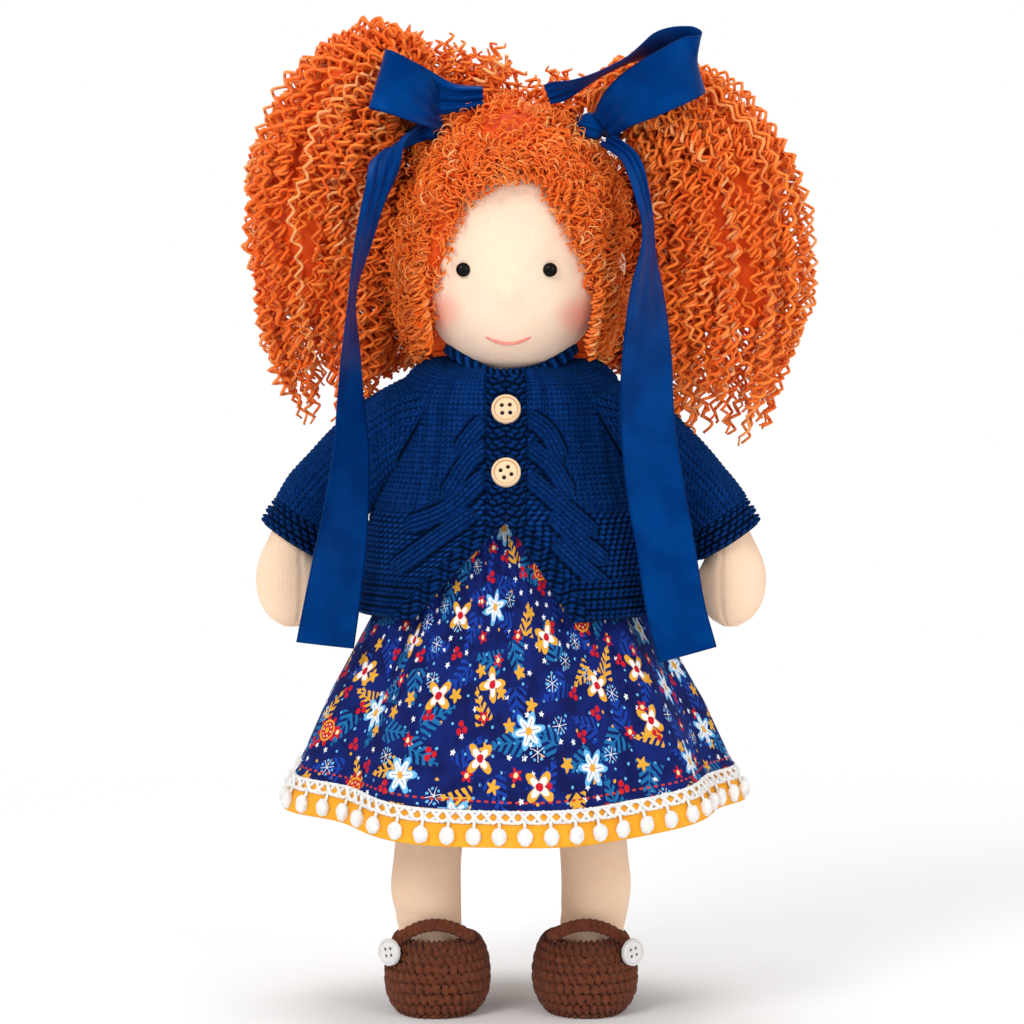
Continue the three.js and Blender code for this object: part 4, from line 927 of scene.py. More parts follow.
def behind_ribbon(line):
    """The y of the points of the centre lines, held back behind the ribbon ends, further back towards the bottom
    and less towards the outside: what lies in front of the limit keeps 0.2 of its distance."""
    limit = -16 - 9 * ease(205, 235, line[..., 2]) - 16 * ease(54, 68, np.abs(line[..., 0]))
    return np.maximum(line[..., 1], limit + 0.2 * (line[..., 1] - limit))


def long_locks(side, count, steps):
    """Centre lines that spring from the tie, arch over and fall to separate ends: each keeps to one place (p, q) of
    the hank's section and wanders a little."""
    angle = rng.uniform(0, TURN, count)
    reach = np.sqrt(rng.uniform(0.3, 1.0, count))[:, None]
    at = np.linspace(0.015, 1, 90)[None] * rng.uniform(0.84, 1.0, (count, 1))
    line = hank(side, at, reach * np.cos(angle)[:, None] + 0 * at, reach * np.sin(angle)[:, None] + 0 * at)
    line = line + ease(0.05, 0.5, at)[..., None] * (wander(line, 17, 5.0) - line)
    line[..., 2] -= ease(0.8, 1.0, at) * rng.uniform(-3, 9, (count, 1))
    line[..., 1] = behind_ribbon(line)
    line = spaced(line, np.full(count, np.inf), steps)
    return line, pigtail_middle(side, line)


def short_locks(side, count, steps, low, high, length):
    """Centre lines of curls that show on the outside: each starts in the hank at a place (p, q), runs down it for
    a length, works outwards from low to high of the radius, and leans a little to one side."""
    angle = np.where(rng.random(count) < 0.66, rng.uniform(0.5, 1, count), rng.uniform(0, 0.5, count))[:, None] * TURN
    t = np.linspace(0, 1, 60)[None]
    at = rng.uniform(0.02, 0.74, (count, 1)) ** 0.9 + t * 0.4
    turn = angle + t * rng.normal(0, 0.5, (count, 1))
    reach = low + (high - low) * t ** 0.6 * rng.uniform(0.6, 1.2, (count, 1))
    line = hank(side, np.minimum(at, 1.0), reach * np.cos(turn), reach * np.sin(turn))
    line[..., 2] -= np.maximum(at - 1.0, 0) * 60
    line = wander(line, 14, 4.2)
    line[..., 1] = behind_ribbon(line)
    line = spaced(line, length * rng.uniform(0.6, 1.25, count), steps)
    return line, pigtail_middle(side, line)


def make_pigtails():
    """Corkscrew locks in shells round each pigtail, over a lumpy heart, dark with painted shade, that closes the view
    through it.
    """
    a = circle(72)[None]
    for side in ("left", "right"):
        at = np.linspace(0.05, 0.76, 54)[:, None] + 0 * a
        grid = hank(side, at, 0.7 * np.cos(a) + 0 * at, 0.7 * np.sin(a) + 0 * at)
        grid = grid + 2.6 * lumps(grid, 6, 5)[..., None] * unit(grid - hank(side, at, 0 * at, 0 * at))
        blank = 0 * grid[..., 0]
        # painted shade: the heart's depth of 0.12 turns it dark red
        surface(f"pigtail_{side}_heart", grid, wrap=True, ends=True, material=HAIR, body="head", stands_for=[f"pigtail_{side}"],
                slot="hair", marks={"tint": 0.1 + blank, "depth": 0.12 + blank})
        line, outward = long_locks(side, 50, 230)
        lay_curls(f"pigtail_{side}_long_locks", line, outward, 0.75, (1.0, 1.8), (5.5, 7.5), 0.7)
        # shown is each layer's depth: the inner layer gets more painted shade
        for layer, (count, low, high, length, shown) in enumerate([(140, 0.6, 0.95, 36, 0.6), (194, 0.82, 1.1, 31, 1.0)]):
            line, outward = short_locks(side, count, 84, low, high, length)
            lay_curls(f"pigtail_{side}_curls_{layer + 1}", line, outward, shown, (0.9, 2.0), (3.8, 5.6), 0.66)


def lay_curls(name, line, outward, depth, radius, pitch, thick, tint=(1.7, 1.7)):
    """One piece of many corkscrews, each with its own radius, pitch, start, thickness and tint by chance; depth, from
    near 0 deep in the hair to 1 outside, sets their painted shade.
    """
    count, steps = line.shape[:2]
    p, q, f = curls(
        line, outward, rng.uniform(*radius, count), rng.uniform(*pitch, count), rng.uniform(0, TURN, count),
        rng.uniform(0.8, 1.2, count) * thick,
    )
    marks = lock_marks(count, steps, rng.beta(*tint, count), np.clip(depth + np.zeros((count, steps)), 0, 1))
    return piece(name, p, q, f, marks=marks, material=HAIR, body="head", slot="hair")


def cap_shell(way, lift):
    """The point of the head's shell in a direction from its middle, lifted by a distance, as an ellipsoid."""
    half = CAP_HALF + np.asarray(lift)[..., None]
    return HEAD_MIDDLE + unit(way) * half


HAIRLINE = np.array([
    (-180, 205), (-44, 211), (-29.8, 218), (-27.2, 233.7), (-23.2, 247.7), (-18.2, 260.2), (-11.5, 269), (-3.5, 273.9),
    (4, 273.6), (9.3, 272.3), (14.8, 265.5), (20.2, 255.4), (24.6, 245.1), (29.4, 231.7), (31, 218), (44, 211), (180, 205),
])


def over_face(points):
    """How far a point in front lies inside the face's window, in mm: positive within the hairline."""
    x, y, z = np.moveaxis(points, -1, 0)
    top = np.interp(x, HAIRLINE[:, 0], HAIRLINE[:, 1])
    return np.where(y < -6, top - z, -20.0)


def cap_lines(count, steps, reach, lift, spread):
    """Centre lines over the head: each starts at a random place outside the face and walks towards its pigtail's
    tie, turned a little by chance, staying on the shell."""
    way = unit(rng.normal(0, 1, (count * 4, 3)))
    start = cap_shell(way, np.zeros(len(way)))
    keep = (over_face(start) < 2.5) & (start[:, 2] > 214 + 6 * (start[:, 1] < 0))
    way = way[keep][: count * 7 // 10]
    edge = spline(HAIRLINE, rng.uniform(1.5, len(HAIRLINE) - 2.5, count - len(way))) + rng.normal(0, 1.2, (count - len(way), 2))
    flat = np.stack([edge[:, 0] / HEAD_HALF_WIDTH, (edge[:, 1] - HEAD_MIDDLE[2]) / CAP_HALF[2]], axis=-1)
    flat /= np.maximum(np.linalg.norm(flat, axis=1, keepdims=True), 1)
    way = np.concatenate([way, np.stack([flat[:, 0], -np.sqrt(np.maximum(1 - (flat**2).sum(1), 0)), flat[:, 1]], axis=-1)])
    point = cap_shell(way, np.full(count, lift))
    sign = np.where(point[:, 0] + rng.normal(0, 9, count) < -1.5, -1.0, 1.0)
    goal = np.stack([sign * 30, np.full(count, 4.0), np.full(count, 285.0)], axis=-1)
    heading = unit(goal - point)
    heading += rng.normal(0, spread, (count, 3))
    step = rng.uniform(0.7, 1.15, count)[:, None] * reach / steps
    line = [point]
    for _ in range(steps - 1):
        normal = unit((point - HEAD_MIDDLE) / CAP_HALF**2)
        forward = unit(heading - normal * (heading * normal).sum(-1, keepdims=True))
        heading = forward + 0.12 * rng.normal(0, 1, (count, 3)) * spread
        moved = point + forward * step
        point = cap_shell((moved - HEAD_MIDDLE) / (CAP_HALF + lift), np.full(count, lift))
        line.append(point)
    line = np.stack(line, axis=1)
    normal = unit(line - HEAD_MIDDLE)
    return line, normal


def make_cap():
    """A lumpy underlayer over the head, dark with painted shade, four layers of short crinkled curls, and the loose
    locks round it.
    """
    latitude = np.linspace(-0.8, math.pi / 2 - 0.02, 70)[:, None]
    a = circle(160)[None]
    level = np.cos(latitude)
    way = np.stack(np.broadcast_arrays(level * np.sin(a), -level * np.cos(a), np.sin(latitude) + 0 * a), axis=-1)
    outer = cap_shell(way, np.full(way.shape[:2], 4.0))
    outer += (0.8 * lumps(outer, 5, 9) + 0.9 * lumps(outer, 2.1, 4))[..., None] * way
    inside = ease(-5.5, -1.5, over_face(outer)) * (outer[..., 1] < 0)
    z = outer[..., 2]
    half_x = HEAD_HALF_WIDTH * 0.9 * jaw(z) * head_width_at(z)
    half_y = HEAD_HALF_DEPTH * 0.9 * head_width_at(z)
    inner = np.stack([half_x * np.sin(a), -half_y * np.cos(a), z], axis=-1)
    grid = outer * (1 - inside[..., None]) + inner * inside[..., None]
    blank = 0 * grid[..., 0]
    # painted shade: the underlayer's depth is near 0, so the hair's colour turns it dark red, in lumps
    surface("hair_underlayer", grid, wrap=True, ends=True, material=HAIR, body="head", stands_for=["hair_cap"], slot="hair",
            marks={"tint": 0.1 + blank, "depth": 0.05 + 0.12 * lumps(grid, 2.1, 4)})
    # the last number of each layer is its depth: the lower layers get more painted shade
    for layer, (count, steps, reach, lift, spread, thick, radius, depth) in enumerate([
        (320, 38, 24, 3.0, 0.40, 0.62, (0.9, 1.8), 0.45), (380, 36, 20, 5.2, 0.60, 0.56, (1.0, 2.0), 0.75),
        (430, 34, 14, 6.8, 0.95, 0.36, (0.9, 2.1), 1.0), (300, 32, 12, 8.2, 1.2, 0.17, (1.0, 2.3), 1.0),
    ]):
        line, normal = cap_lines(count, steps, reach, lift, spread)
        line[..., 2] = np.maximum(line[..., 2], CAP_FLOOR_Z + 0.2 * (line[..., 2] - CAP_FLOOR_Z))
        off_ear = np.linalg.norm(line - EAR_PLACE, axis=-1).min(axis=1) > 4.2 + layer
        clear = (over_face(line).max(axis=1) < 5.5) & off_ear
        lay_curls(f"hair_curls_{layer + 1}", line[clear], normal[clear], depth, radius, (3.0, 4.8), thick)
    make_hairline()
    make_nape()
    make_cheek_locks()
    make_temples()
    make_tuft()


def make_nape():
    """Locks that hang behind the cheeks from the sides and the back of the head to the shoulders."""
    count, steps = 130, 48
    sign = either_side(count)
    t = np.linspace(0, 1, steps)[None]
    out, back = rng.uniform(21, 45, (count, 1)), rng.uniform(12, 25, (count, 1))
    drop = rng.uniform(24, 38, (count, 1))
    x = sign * (out + 2.5 * np.sin(math.pi * t) - 6 * (1 - t) * ease(34, 45, out))
    line = np.stack([x, back - 4 * (1 - t) + 0 * x, 213 + 0.2 * (drop - 24) + drop * (1 - t) - 0.32 * (out - 20)], axis=-1)
    line = wander(line, 12, 2.0)
    lay_curls("nape_curls", line, unit(line * np.array([1, -1, 0]) + 0.001), 0.5, (1.2, 2.2), (4.8, 6.5), 0.75)


def make_cheek_locks():
    """Locks that hang beside the cheeks from eye height to the jacket, on the cap's shell, closing in towards the jaw."""
    count = 90
    sign = either_side(count)
    t = np.linspace(0, 1, 44)[None]
    z = np.maximum(rng.uniform(224, 246, (count, 1)) - rng.uniform(12, 22, (count, 1)) * t, rng.uniform(214, 222, (count, 1)))
    x = sign * (rng.uniform(28, 34, (count, 1)) - 2.5 * (1 - ease(214, 234, z)))
    lift = rng.uniform(4.5, 8.0, (count, 1))
    share = np.maximum(1 - ((z - HEAD_MIDDLE[2]) / (CAP_HALF[2] + lift)) ** 2 - (x / (CAP_HALF[0] + lift)) ** 2, 0.02)
    line = wander(np.stack([x, -(CAP_HALF[1] + lift) * np.sqrt(share), z], axis=-1), 9, 1.2)
    clear = np.linalg.norm(line - EAR_PLACE, axis=-1).min(axis=1) > 6
    lay_curls("cheek_locks", line[clear], unit(line - HEAD_MIDDLE)[clear], 0.85, (1.0, 2.0), (3.4, 5.0), 0.5)


def make_temples():
    """Locks that hang between the cap and the pigtails, from beside the ties to beside the ears."""
    count = 64
    sign = either_side(count)
    t = np.linspace(0, 1, 64)[None]
    top, length = rng.uniform(264, 285, (count, 1)), rng.uniform(22, 44, (count, 1))
    x = sign * (rng.uniform(34, 46, (count, 1)) + 3 * t)
    line = np.stack([x, rng.uniform(2, 18, (count, 1)) + 0 * x, top - length * t], axis=-1)
    line = wander(line, 10, 2.5)
    lay_curls("temple_curls", line, np.array([0.0, -1.0, 0.1]) + 0 * line, 0.4, (1.2, 2.4), (4.2, 6), 0.7)


def make_tuft():
    """Locks that fan out over the crown behind the bows: a large fan from the left tie and a small one at the right."""
    for name, count, middle, far, wide in (("left", 100, (-21, 287), 33, (-0.5, 1.45)), ("right", 30, (17, 290), 19, (-0.9, 0.8))):
        t = np.linspace(0, 1, 64)[None]
        lean = rng.uniform(*wide, (count, 1)) + 0.35 * t * rng.normal(0, 1, (count, 1))
        reach = (0.12 + 0.88 * t) * far * rng.uniform(0.62, 1.0, (count, 1))
        y = rng.uniform(4, 22, (count, 1)) + rng.normal(0, 4, (count, 1)) * t
        line = np.stack([middle[0] + reach * np.sin(lean), y + 0 * reach, middle[1] + reach * np.cos(lean)], axis=-1)
        line = wander(line, 10, 2.5)
        lay_curls(f"crown_{name}_curls", line, np.array([0.0, -1.0, 0.15]) + 0 * line, 0.8, (1.0, 2.2), (3.8, 5.2), 0.66)


def make_hairline():
    """Fine loose curls that start on the hairline and lie over the edge of the face."""
    count, steps = 270, 22
    along = rng.uniform(1.5, len(HAIRLINE) - 2.5, count)
    edge = spline(HAIRLINE, along)
    near = spline(HAIRLINE, np.clip(along + 0.05, 0, len(HAIRLINE) - 1)) - edge
    inward = unit(np.stack([near[:, 1], -near[:, 0]], axis=-1))
    drift = unit(near) * rng.normal(0, 0.8, (count, 1))
    t = np.linspace(0, 1, steps)[None, :, None]
    flat = edge[:, None] - inward[:, None] * 3.0 + (inward * rng.uniform(3.0, 7.5, (count, 1)) + drift * 5)[:, None] * t
    x, z = flat[..., 0], flat[..., 1]
    y = face_y(np.clip(x, -31, 31), z) - 1.4 - 3.0 * (1 - t[..., 0]) - 0.6 * rng.random((count, 1))
    line = np.stack([x, y, z], axis=-1)
    outward = unit(line - HEAD_MIDDLE)
    lay_curls("hairline_curls", line, outward, 0.95, (0.6, 1.4), (2.8, 4.4), 0.34, (2.2, 1.4))


def make_ties():
    """Elastic wound round each pigtail's root: a tube on a circle, its section wavering along it."""
    a = circle(96)[:, None]
    b = circle(20)[None]
    for side, sign in (("left", -1), ("right", 1)):
        r = 6.3 + (1.55 + 0.15 * np.cos(14 * a + 2 * b)) * np.cos(b)
        up = (1.85 + 0.15 * np.cos(14 * a + 2 * b)) * np.sin(b)
        x, y, z = r * np.cos(a), r * np.sin(a), up
        lean = sign * 0.42
        c, s = math.cos(lean), math.sin(lean)
        grid = np.stack([sign * TIE_X + x * c + z * s, 1.0 + y, TIE_Z - x * s + z * c], axis=-1)
        surface(f"elastic_{side}", grid, wrap=True, closed=True, material=ELASTIC, body="head",
                stands_for=[f"hair_tie_{side}"], slot="navy_elastic")


# Ribbons

LOOPS = {
    "left": [
        (-23, -13, 292, 0, 0.3, 1, 0.5), (-27, -19, 296, 0.15, 0.2, 1, 0.75),
        (-34, -23, 300.5, 0.25, 0.1, 1, 0.92), (-40.5, -22.5, 303.6, 0.3, 0, 1, 1),
        (-42.8, -19.5, 304, 0.3, 0, 1, 1), (-39.5, -16.3, 303, 0.3, 0, 1, 1), (-30, -14.4, 300, 0.2, 0, 1, 0.85), (-19, -12, 298, 0.1, 0, 1, 0.5),
        (-9, -10.5, 298.5, 0, 0, 1, 0.35),
    ],
    "right": [
        (29.5, -13, 289, -0.7, 0.2, 0.7, 0.5), (36, -19, 296, -0.45, 0.2, 0.9, 0.8),
        (46, -23.5, 301.8, -0.35, 0, 0.94, 0.95), (56, -22, 307, -0.2, 0, 1, 1),
        (59.8, -18, 309.5, -0.1, 0, 1, 1), (56, -14.2, 312.5, 0.1, -0.45, 0.9, 1),
        (46, -14, 314, 0.3, -0.85, 0.5, 1), (33, -14.6, 308, 0.45, -0.85, 0.3, 0.9),
        (20, -13.6, 302, 0.45, -0.8, 0.45, 0.7), (11.5, -12.4, 299.5, 0.4, -0.5, 0.7, 0.4),
    ],
}
TAILS = {
    "left": [
        (-26.6, -11.4, 287.8, 0.7, 0.1, 0.7, 0.25), (-31.5, -15, 285.8, 0.7, 0.1, 0.7, 0.36), (-38.7, -22.5, 280.5, 0.8, 0.1, 0.5, 0.46),
        (-42.6, -29.5, 268.5, 0.7, 0.8, 0.1, 0.55), (-46.9, -32, 252, 0.36, 1, 0, 0.75),
        (-50.4, -33, 235.5, 0.1, 1, 0, 0.88), (-51.1, -33.5, 217, 0.27, 1, 0, 1),
        (-51.3, -33, 200, 0.45, 1, 0, 1), (-51.2, -32.5, 185.5, 0.6, 0.9, 0, 1), (-53, -32, 165, 0.75, 0.7, 0, 1), (-56, -31, 145, 0.9, 0.5, 0, 1),
        (-59.8, -30, 122.5, 1, 0.3, 0.25, 1),
    ],
    "right": [
        (31, -14, 285, 1, 0, 0.3, 0.3), (38.6, -22.5, 278.6, 0.8, 0.5, 0.2, 0.34),
        (42.3, -30, 266, 0.5, 1, 0, 0.48), (44, -33, 254, 0.28, 1, 0, 0.72),
        (43.4, -34, 235.5, 0.66, 0.8, 0, 0.9), (43.4, -33.6, 215, 0.88, 0.6, 0, 1), (43.6, -33, 197, 1, 0.5, 0, 1), (46, -32.4, 175, 1, 0.3, 0, 1),
        (49.2, -31.6, 157, 1, 0.25, 0, 1), (52.8, -31, 135, 1, 0.2, 0.05, 1), (56.8, -30.5, 119.5, 1, 0.1, -0.42, 1),
    ],
}


def ribbon_grid(stations, rows, pleat):
    """A strip along the smooth line through its stations. Each row runs along the width's direction, bows by the
    pleats that gather it to less than its full width, and cups a little."""
    line = even(stations, rows)
    centre, wide, width = line[:, :3], line[:, 3:6], line[:, 6]
    along = unit(np.gradient(centre, axis=0))
    across = unit(wide - along * (along * wide).sum(-1, keepdims=True))
    face = np.cross(along, across)
    u = np.linspace(-1, 1, 25)
    gathered = np.clip(1 - width, 0, 1)[:, None]
    fold = pleat * gathered * np.cos(u[None] * TURN * 1.5) + 0.5 * (1 - u[None] ** 2) * np.sin(np.linspace(0, 7, rows))[:, None]
    run = run_along(centre)
    grid = centre[:, None] + across[:, None] * (u[None, :, None] * RIBBON_WIDTH / 2 * width[:, None, None]) + face[:, None] * fold[..., None]
    uv = np.broadcast_to((u + 1) * RIBBON_WIDTH / 2, (rows, 25)), np.broadcast_to(run[:, None], (rows, 25))
    return grid, uv, run[-1]


def make_ribbons():
    for side, sign in (("left", -1), ("right", 1)):
        grid, uv, length = ribbon_grid(LOOPS[side], 120, 1.1)
        loop = surface(f"bow_{side}", grid, uv=uv, material=RIBBON, body="head", stands_for=[f"ribbon_{side}_bow"], slot="ribbon")
        thicken(loop, RIBBON_THICKNESS)
        length * MM
        grid, uv, length = ribbon_grid(TAILS[side], 220, 1.1)
        tail = surface(f"ribbon_end_{side}", grid, uv=uv, material=RIBBON, stands_for=[f"ribbon_{side}_tail"], slot="ribbon")
        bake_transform(tail)
        thicken(tail, RIBBON_THICKNESS)
        length * MM
        grid, way = ball((sign * 26.0, -9.9, 289.0), (4.4, 2.9, 4.6), 30, 60)
        folds = 0.35 * np.cos(way[..., 2] * 9 + way[..., 0] * 2) * (1 - np.abs(way[..., 2]) ** 4)
        grid = grid + way * folds[..., None]
        across = np.concatenate([way[..., 2], way[..., 2][:, :1]], axis=1) * 4 + 9.75
        around = np.broadcast_to(np.linspace(0, 24, 61), across.shape)
        surface(f"bow_knot_{side}", grid, wrap=True, ends=True, uv=(across, around), material=RIBBON, body="head",
                stands_for=[f"ribbon_{side}_knot"], slot="ribbon")


def thicken(made, thickness):
    """Cloth thickness, grown to the back of the sheet."""
    wall = made.modifiers.new("cloth_thickness", "SOLIDIFY")
    wall.thickness, wall.offset = thickness * MM, 0.0


# Body and limbs


def leaning_rows(stations, sides, sign):
    """Rings of a limb: each station (x, y, drop, lean, wide, deep) is a ring round its centre, square to X where
    the lean is 0; angle 0 is its upper edge and a quarter turn is its front."""
    x, y, drop, lean, wide, deep = (column[:, None] for column in np.asarray(stations, float).T)
    a = circle(sides)[None]
    u = wide * np.cos(a)
    return np.stack([sign * (x + np.sin(lean) * u), y - deep * np.sin(a), SHOULDER_Z - drop + np.cos(lean) * u], axis=-1)


ARM = [
    (30.3, 0, 0, 0, 9.2, 9.2), (37.6, 0, 0, 0, 9.2, 9.2), (46, -0.6, 6.5, 0.6, 9.2, 9.2), (57, -2, 17.5, 0.8, 8.8, 8.8),
    (67, -3.8, 29, 0.98, 8.4, 8.4), (71.2, -5, 37.5, 1.25, 8.4, 8.2), (72.0, -5.5, 46, 1.5, 11.2, 8.4),
    (72.0, -6, 54.5, 1.57, 10.5, 7.9), (71.8, -6.4, 60.5, 1.57, 7.2, 5.6), (71.7, -6.5, 63.6, 1.57, 2.6, 2.4),
]
LEG = [
    (26.4, 1.5, 8.5, 10.2), (26.4, 1.5, 14, 10.3), (26.4, 1.5, 23.2, 10.4), (28, 1.5, 38.2, 11.4),
    (27.4, 1.5, 50, 11.2), (26.2, 1.4, 62, 11.1), (22.5, 0.6, 84, 10.9), (20.4, 0.2, 96, 10.8),
]


def make_limbs():
    for side, sign in (("left", -1), ("right", 1)):
        grid = leaning_rows(spline(ARM, np.linspace(0, len(ARM) - 1, 130)), 72, sign)
        middle = grid.mean(axis=1, keepdims=True)
        grid = grid + unit(grid - middle) * (0.25 * lumps(grid, 9, 4))[..., None]
        seam = bell(circle(72)[None] - math.pi * 0.62, 0.06) * ease(60, 80, np.arange(130))[:, None]
        grid = grid - unit(grid - middle) * (0.55 * seam)[..., None]
        arm = surface(f"arm_{side}", grid, wrap=True, ends=True, material=SKIN, body=f"arm_{side}", stands_for=[f"arm_{side}_skin"], slot="skin")
        x, y, z, radius = (column[:, None] for column in spline(LEG, np.linspace(0, len(LEG) - 1, 110)).T)
        a = circle(72)[None]
        grid = np.stack(np.broadcast_arrays(sign * x + radius * np.sin(a), y - radius * np.cos(a), z), axis=-1)
        crease = 0.5 * bell(z - 27.0, 1.4) * np.maximum(np.cos(a), 0) + 0.35 * bell(z - 31.0, 1.6) * np.maximum(np.cos(a + 0.7), 0)
        away = np.stack([np.sin(a) + 0 * z, -np.cos(a) + 0 * z, 0 * (a + z)], axis=-1)
        grid = grid + away * (0.3 * lumps(grid, 10, 6) - crease)[..., None]
        roll = np.hypot(grid[..., 1], grid[..., 2] - HIP_Z)
        grid[..., 2] -= np.maximum(15.4 - roll, 0)
        leg = surface(f"leg_{side}", grid, wrap=True, ends=True, material=SKIN, body=f"leg_{side}", stands_for=[f"leg_{side}_skin"], slot="skin")


def softened(name, node, material, body, slot, roughness, size, levels=1):
    """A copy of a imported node, its doubles merged, split finer, and pushed along its normals by lumps of a size."""
    mesh = bmesh.new()
    mesh.from_mesh(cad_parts[node].data)
    bmesh.ops.remove_doubles(mesh, verts=mesh.verts, dist=1e-6)
    bmesh.ops.subdivide_edges(mesh, edges=mesh.edges, cuts=levels, use_grid_fill=True)
    bmesh.ops.triangulate(mesh, faces=[f for f in mesh.faces if len(f.verts) > 4])
    mesh.normal_update()
    points = np.array([v.co for v in mesh.verts]) / MM
    normals = np.array([v.normal for v in mesh.verts])
    moved = points + normals * (roughness * (lumps(points, size, 8) - 1))[:, None]
    if node == "head_wool_core":
        moved = within_head(moved)
    quads = np.array([[v.index for v in f.verts] for f in mesh.faces if len(f.verts) == 4], int).reshape(-1, 4)
    triangles = np.array([[v.index for v in f.verts] for f in mesh.faces if len(f.verts) == 3], int).reshape(-1, 3)
    mesh.free()
    uv = None
    if material in (PRINT, MUSTARD):
        corners = np.concatenate([quads.ravel(), triangles.ravel()])
        at = moved[corners]
        uv = np.stack([np.arctan2(at[:, 0], -at[:, 1]) * 30 + 200, at[:, 2]], axis=1) / MAP_SPAN
    made = piece(name, moved, quads, triangles, uv, material=material, body=body, stands_for=[node], slot=slot)
    return made


def make_inside():
    """What the clothes and skins hide: the wool filling, the body's skin, the seat and the dress under the jacket."""
    for body in ("head", "torso", "arm_left", "arm_right", "leg_left", "leg_right"):
        softened(f"{body}_filling", f"{body}_wool_core", WOOL, body, "wool", 0.25, 2.2, 2)
    softened("body_skin", "torso_skin", SKIN, "torso", "skin", 0.05, 8, 2)
    softened("seat_skin", "seat_roll", SKIN, "hips", "skin", 0.05, 8, 2)
    softened("bodice", "dress_bodice", PRINT, "torso", "print_cotton", 0.04, 6, 2)
    softened("collar", "dress_collar", MUSTARD, "torso", "mustard_cotton", 0.03, 3, 2)


# Jacket

CARDIGAN_PROFILE = [
    (131, 50.6, 41.5), (140, 49.4, 39.2), (152, 47.4, 35.9), (166, 44.6, 31.8), (175, 41.4, 28.4), (189, 38.6, 24.4),
    (198.5, 37.2, 21.5), (205.2, 33.2, 19.6), (208.8, 25.2, 18.2), (210.6, 17.0, 16.5),
]
CABLES = [
    ((-9.2, 193.5), (-12, 190.5), (-16, 185)), ((-8.5, 186), (-14.1, 180.8), (-20, 170.6)), ((-9.4, 176), (-19, 166.6), (-32.5, 160.6)),
    ((-13.1, 164.4), (-23.9, 156.8), (-36.5, 147.2)), ((6.4, 195), (11.7, 190.7), (16, 182.5)), ((6.4, 185.6), (12.9, 180.2), (18.3, 171)),
    ((6.4, 175.8), (15.4, 167.9), (25.5, 159)), ((13.8, 164), (20.9, 156.8), (29.2, 149.6)), ((15, 155.4), (22.1, 148.2), (32, 139.2)),
]


def body_ring(z):
    """Half width and half depth of the jacket at heights, on the smooth curve through its profile."""
    fine = spline(CARDIGAN_PROFILE, np.linspace(0, len(CARDIGAN_PROFILE) - 1, 300))
    return np.interp(z, fine[:, 0], fine[:, 1]), np.interp(z, fine[:, 0], fine[:, 2])


def smooth_fabric(u, v):
    """Stocking stitch, from 0 to 1: two fat slanting legs a stitch, u in stitches across and v in rows."""
    x, y = u - np.floor(u), v - np.floor(v)
    left = 1 - ((x - (0.36 - 0.16 * y)) / 0.25) ** 2
    right = 1 - ((x - (0.64 + 0.16 * y)) / 0.25) ** 2
    return np.sqrt(np.clip(np.maximum(left, right), 0, 1) * np.clip(1 - ((y - 0.5) / 0.62) ** 2, 0, 1))


def beaded_fabric(u, v):
    """Purl bumps from 0 to 1: round beads in rows, every other row shifted by half a bead."""
    x, y = u + 0.5 * (np.floor(v) % 2), v - np.floor(v)
    x = x - np.floor(x)
    return np.sqrt(np.clip(1 - ((x - 0.5) / 0.5) ** 2 - ((y - 0.5 - 0.3 * (x - 0.5)) / 0.5) ** 2, 0, 1))


def garter_fabric(u, v):
    """Garter stitch: ridges of two bead rows each, with a low line between the ridges that the knit's colour darkens as
    painted shade.
    """
    ridge = 0.5 - 0.5 * np.cos(v * math.pi)
    return beaded_fabric(u, v) * (0.45 + 0.55 * np.sqrt(ridge)) * (0.35 + 0.65 * ease(0.02, 0.3, ridge))


def cable_relief(x, z):
    """Raised bands that slant from the buttons to the sides: each is stocking stitch that runs along a smooth line,
    domed across and bounded by a groove. Gives the lift, the pattern, and how much of a point is band or groove."""
    lift, pattern, cover, groove = (np.zeros(x.shape) for _ in range(4))
    for line in CABLES:
        path = even(np.array([(px, pz, 0) for px, pz in line], float), 26)[:, :2]
        tangent = unit(np.gradient(path, axis=0))
        run = run_along(path)
        near = np.argmin((x[..., None] - path[:, 0]) ** 2 + (z[..., None] - path[:, 1]) ** 2, axis=-1)
        dx, dz = x - path[near, 0], z - path[near, 1]
        along = run[near] + dx * tangent[near, 0] + dz * tangent[near, 1]
        away = dx * tangent[near, 1] - dz * tangent[near, 0]
        inside = ease(-2.5, 0.5, along) * ease(run[-1] + 2.5, run[-1] - 2.0, along)
        half = 2.9 * np.sqrt(inside + 1e-9)
        dome = np.sqrt(np.clip(1 - (away / half) ** 2, 0, 1)) * inside
        band = ease(half, half - 0.4, np.abs(away)) * (inside > 0.02)
        cord = away / half * 2.0
        cord = np.clip(1 - ((cord - np.floor(cord)) * 2 - 1) ** 2, 0, 1) ** 0.8
        notch = 0.82 + 0.18 * np.sin(TURN * (along / 1.9 + 0.5 * np.floor(away / half * 2.0)))
        lift = np.maximum(lift, dome)
        pattern = np.where(band > cover, cord * notch, pattern)
        cover = np.maximum(cover, band)
        groove = np.maximum(groove, inside * bell(np.abs(away) - half - 0.35, 0.5))
    return lift, pattern, cover, groove


def beside(fine, coarse):
    """Triangles between a row of points and a coarser row beside it, given as their numbers."""
    near = np.round(np.arange(len(fine)) * (len(coarse) - 1) / (len(fine) - 1)).astype(int)
    turn = near[1:] != near[:-1]
    one = np.stack([fine[1:], fine[:-1], coarse[near[:-1]]], axis=1)
    two = np.stack([coarse[near[1:]], fine[1:], coarse[near[:-1]]], axis=1)[turn]
    return np.concatenate([one, two])


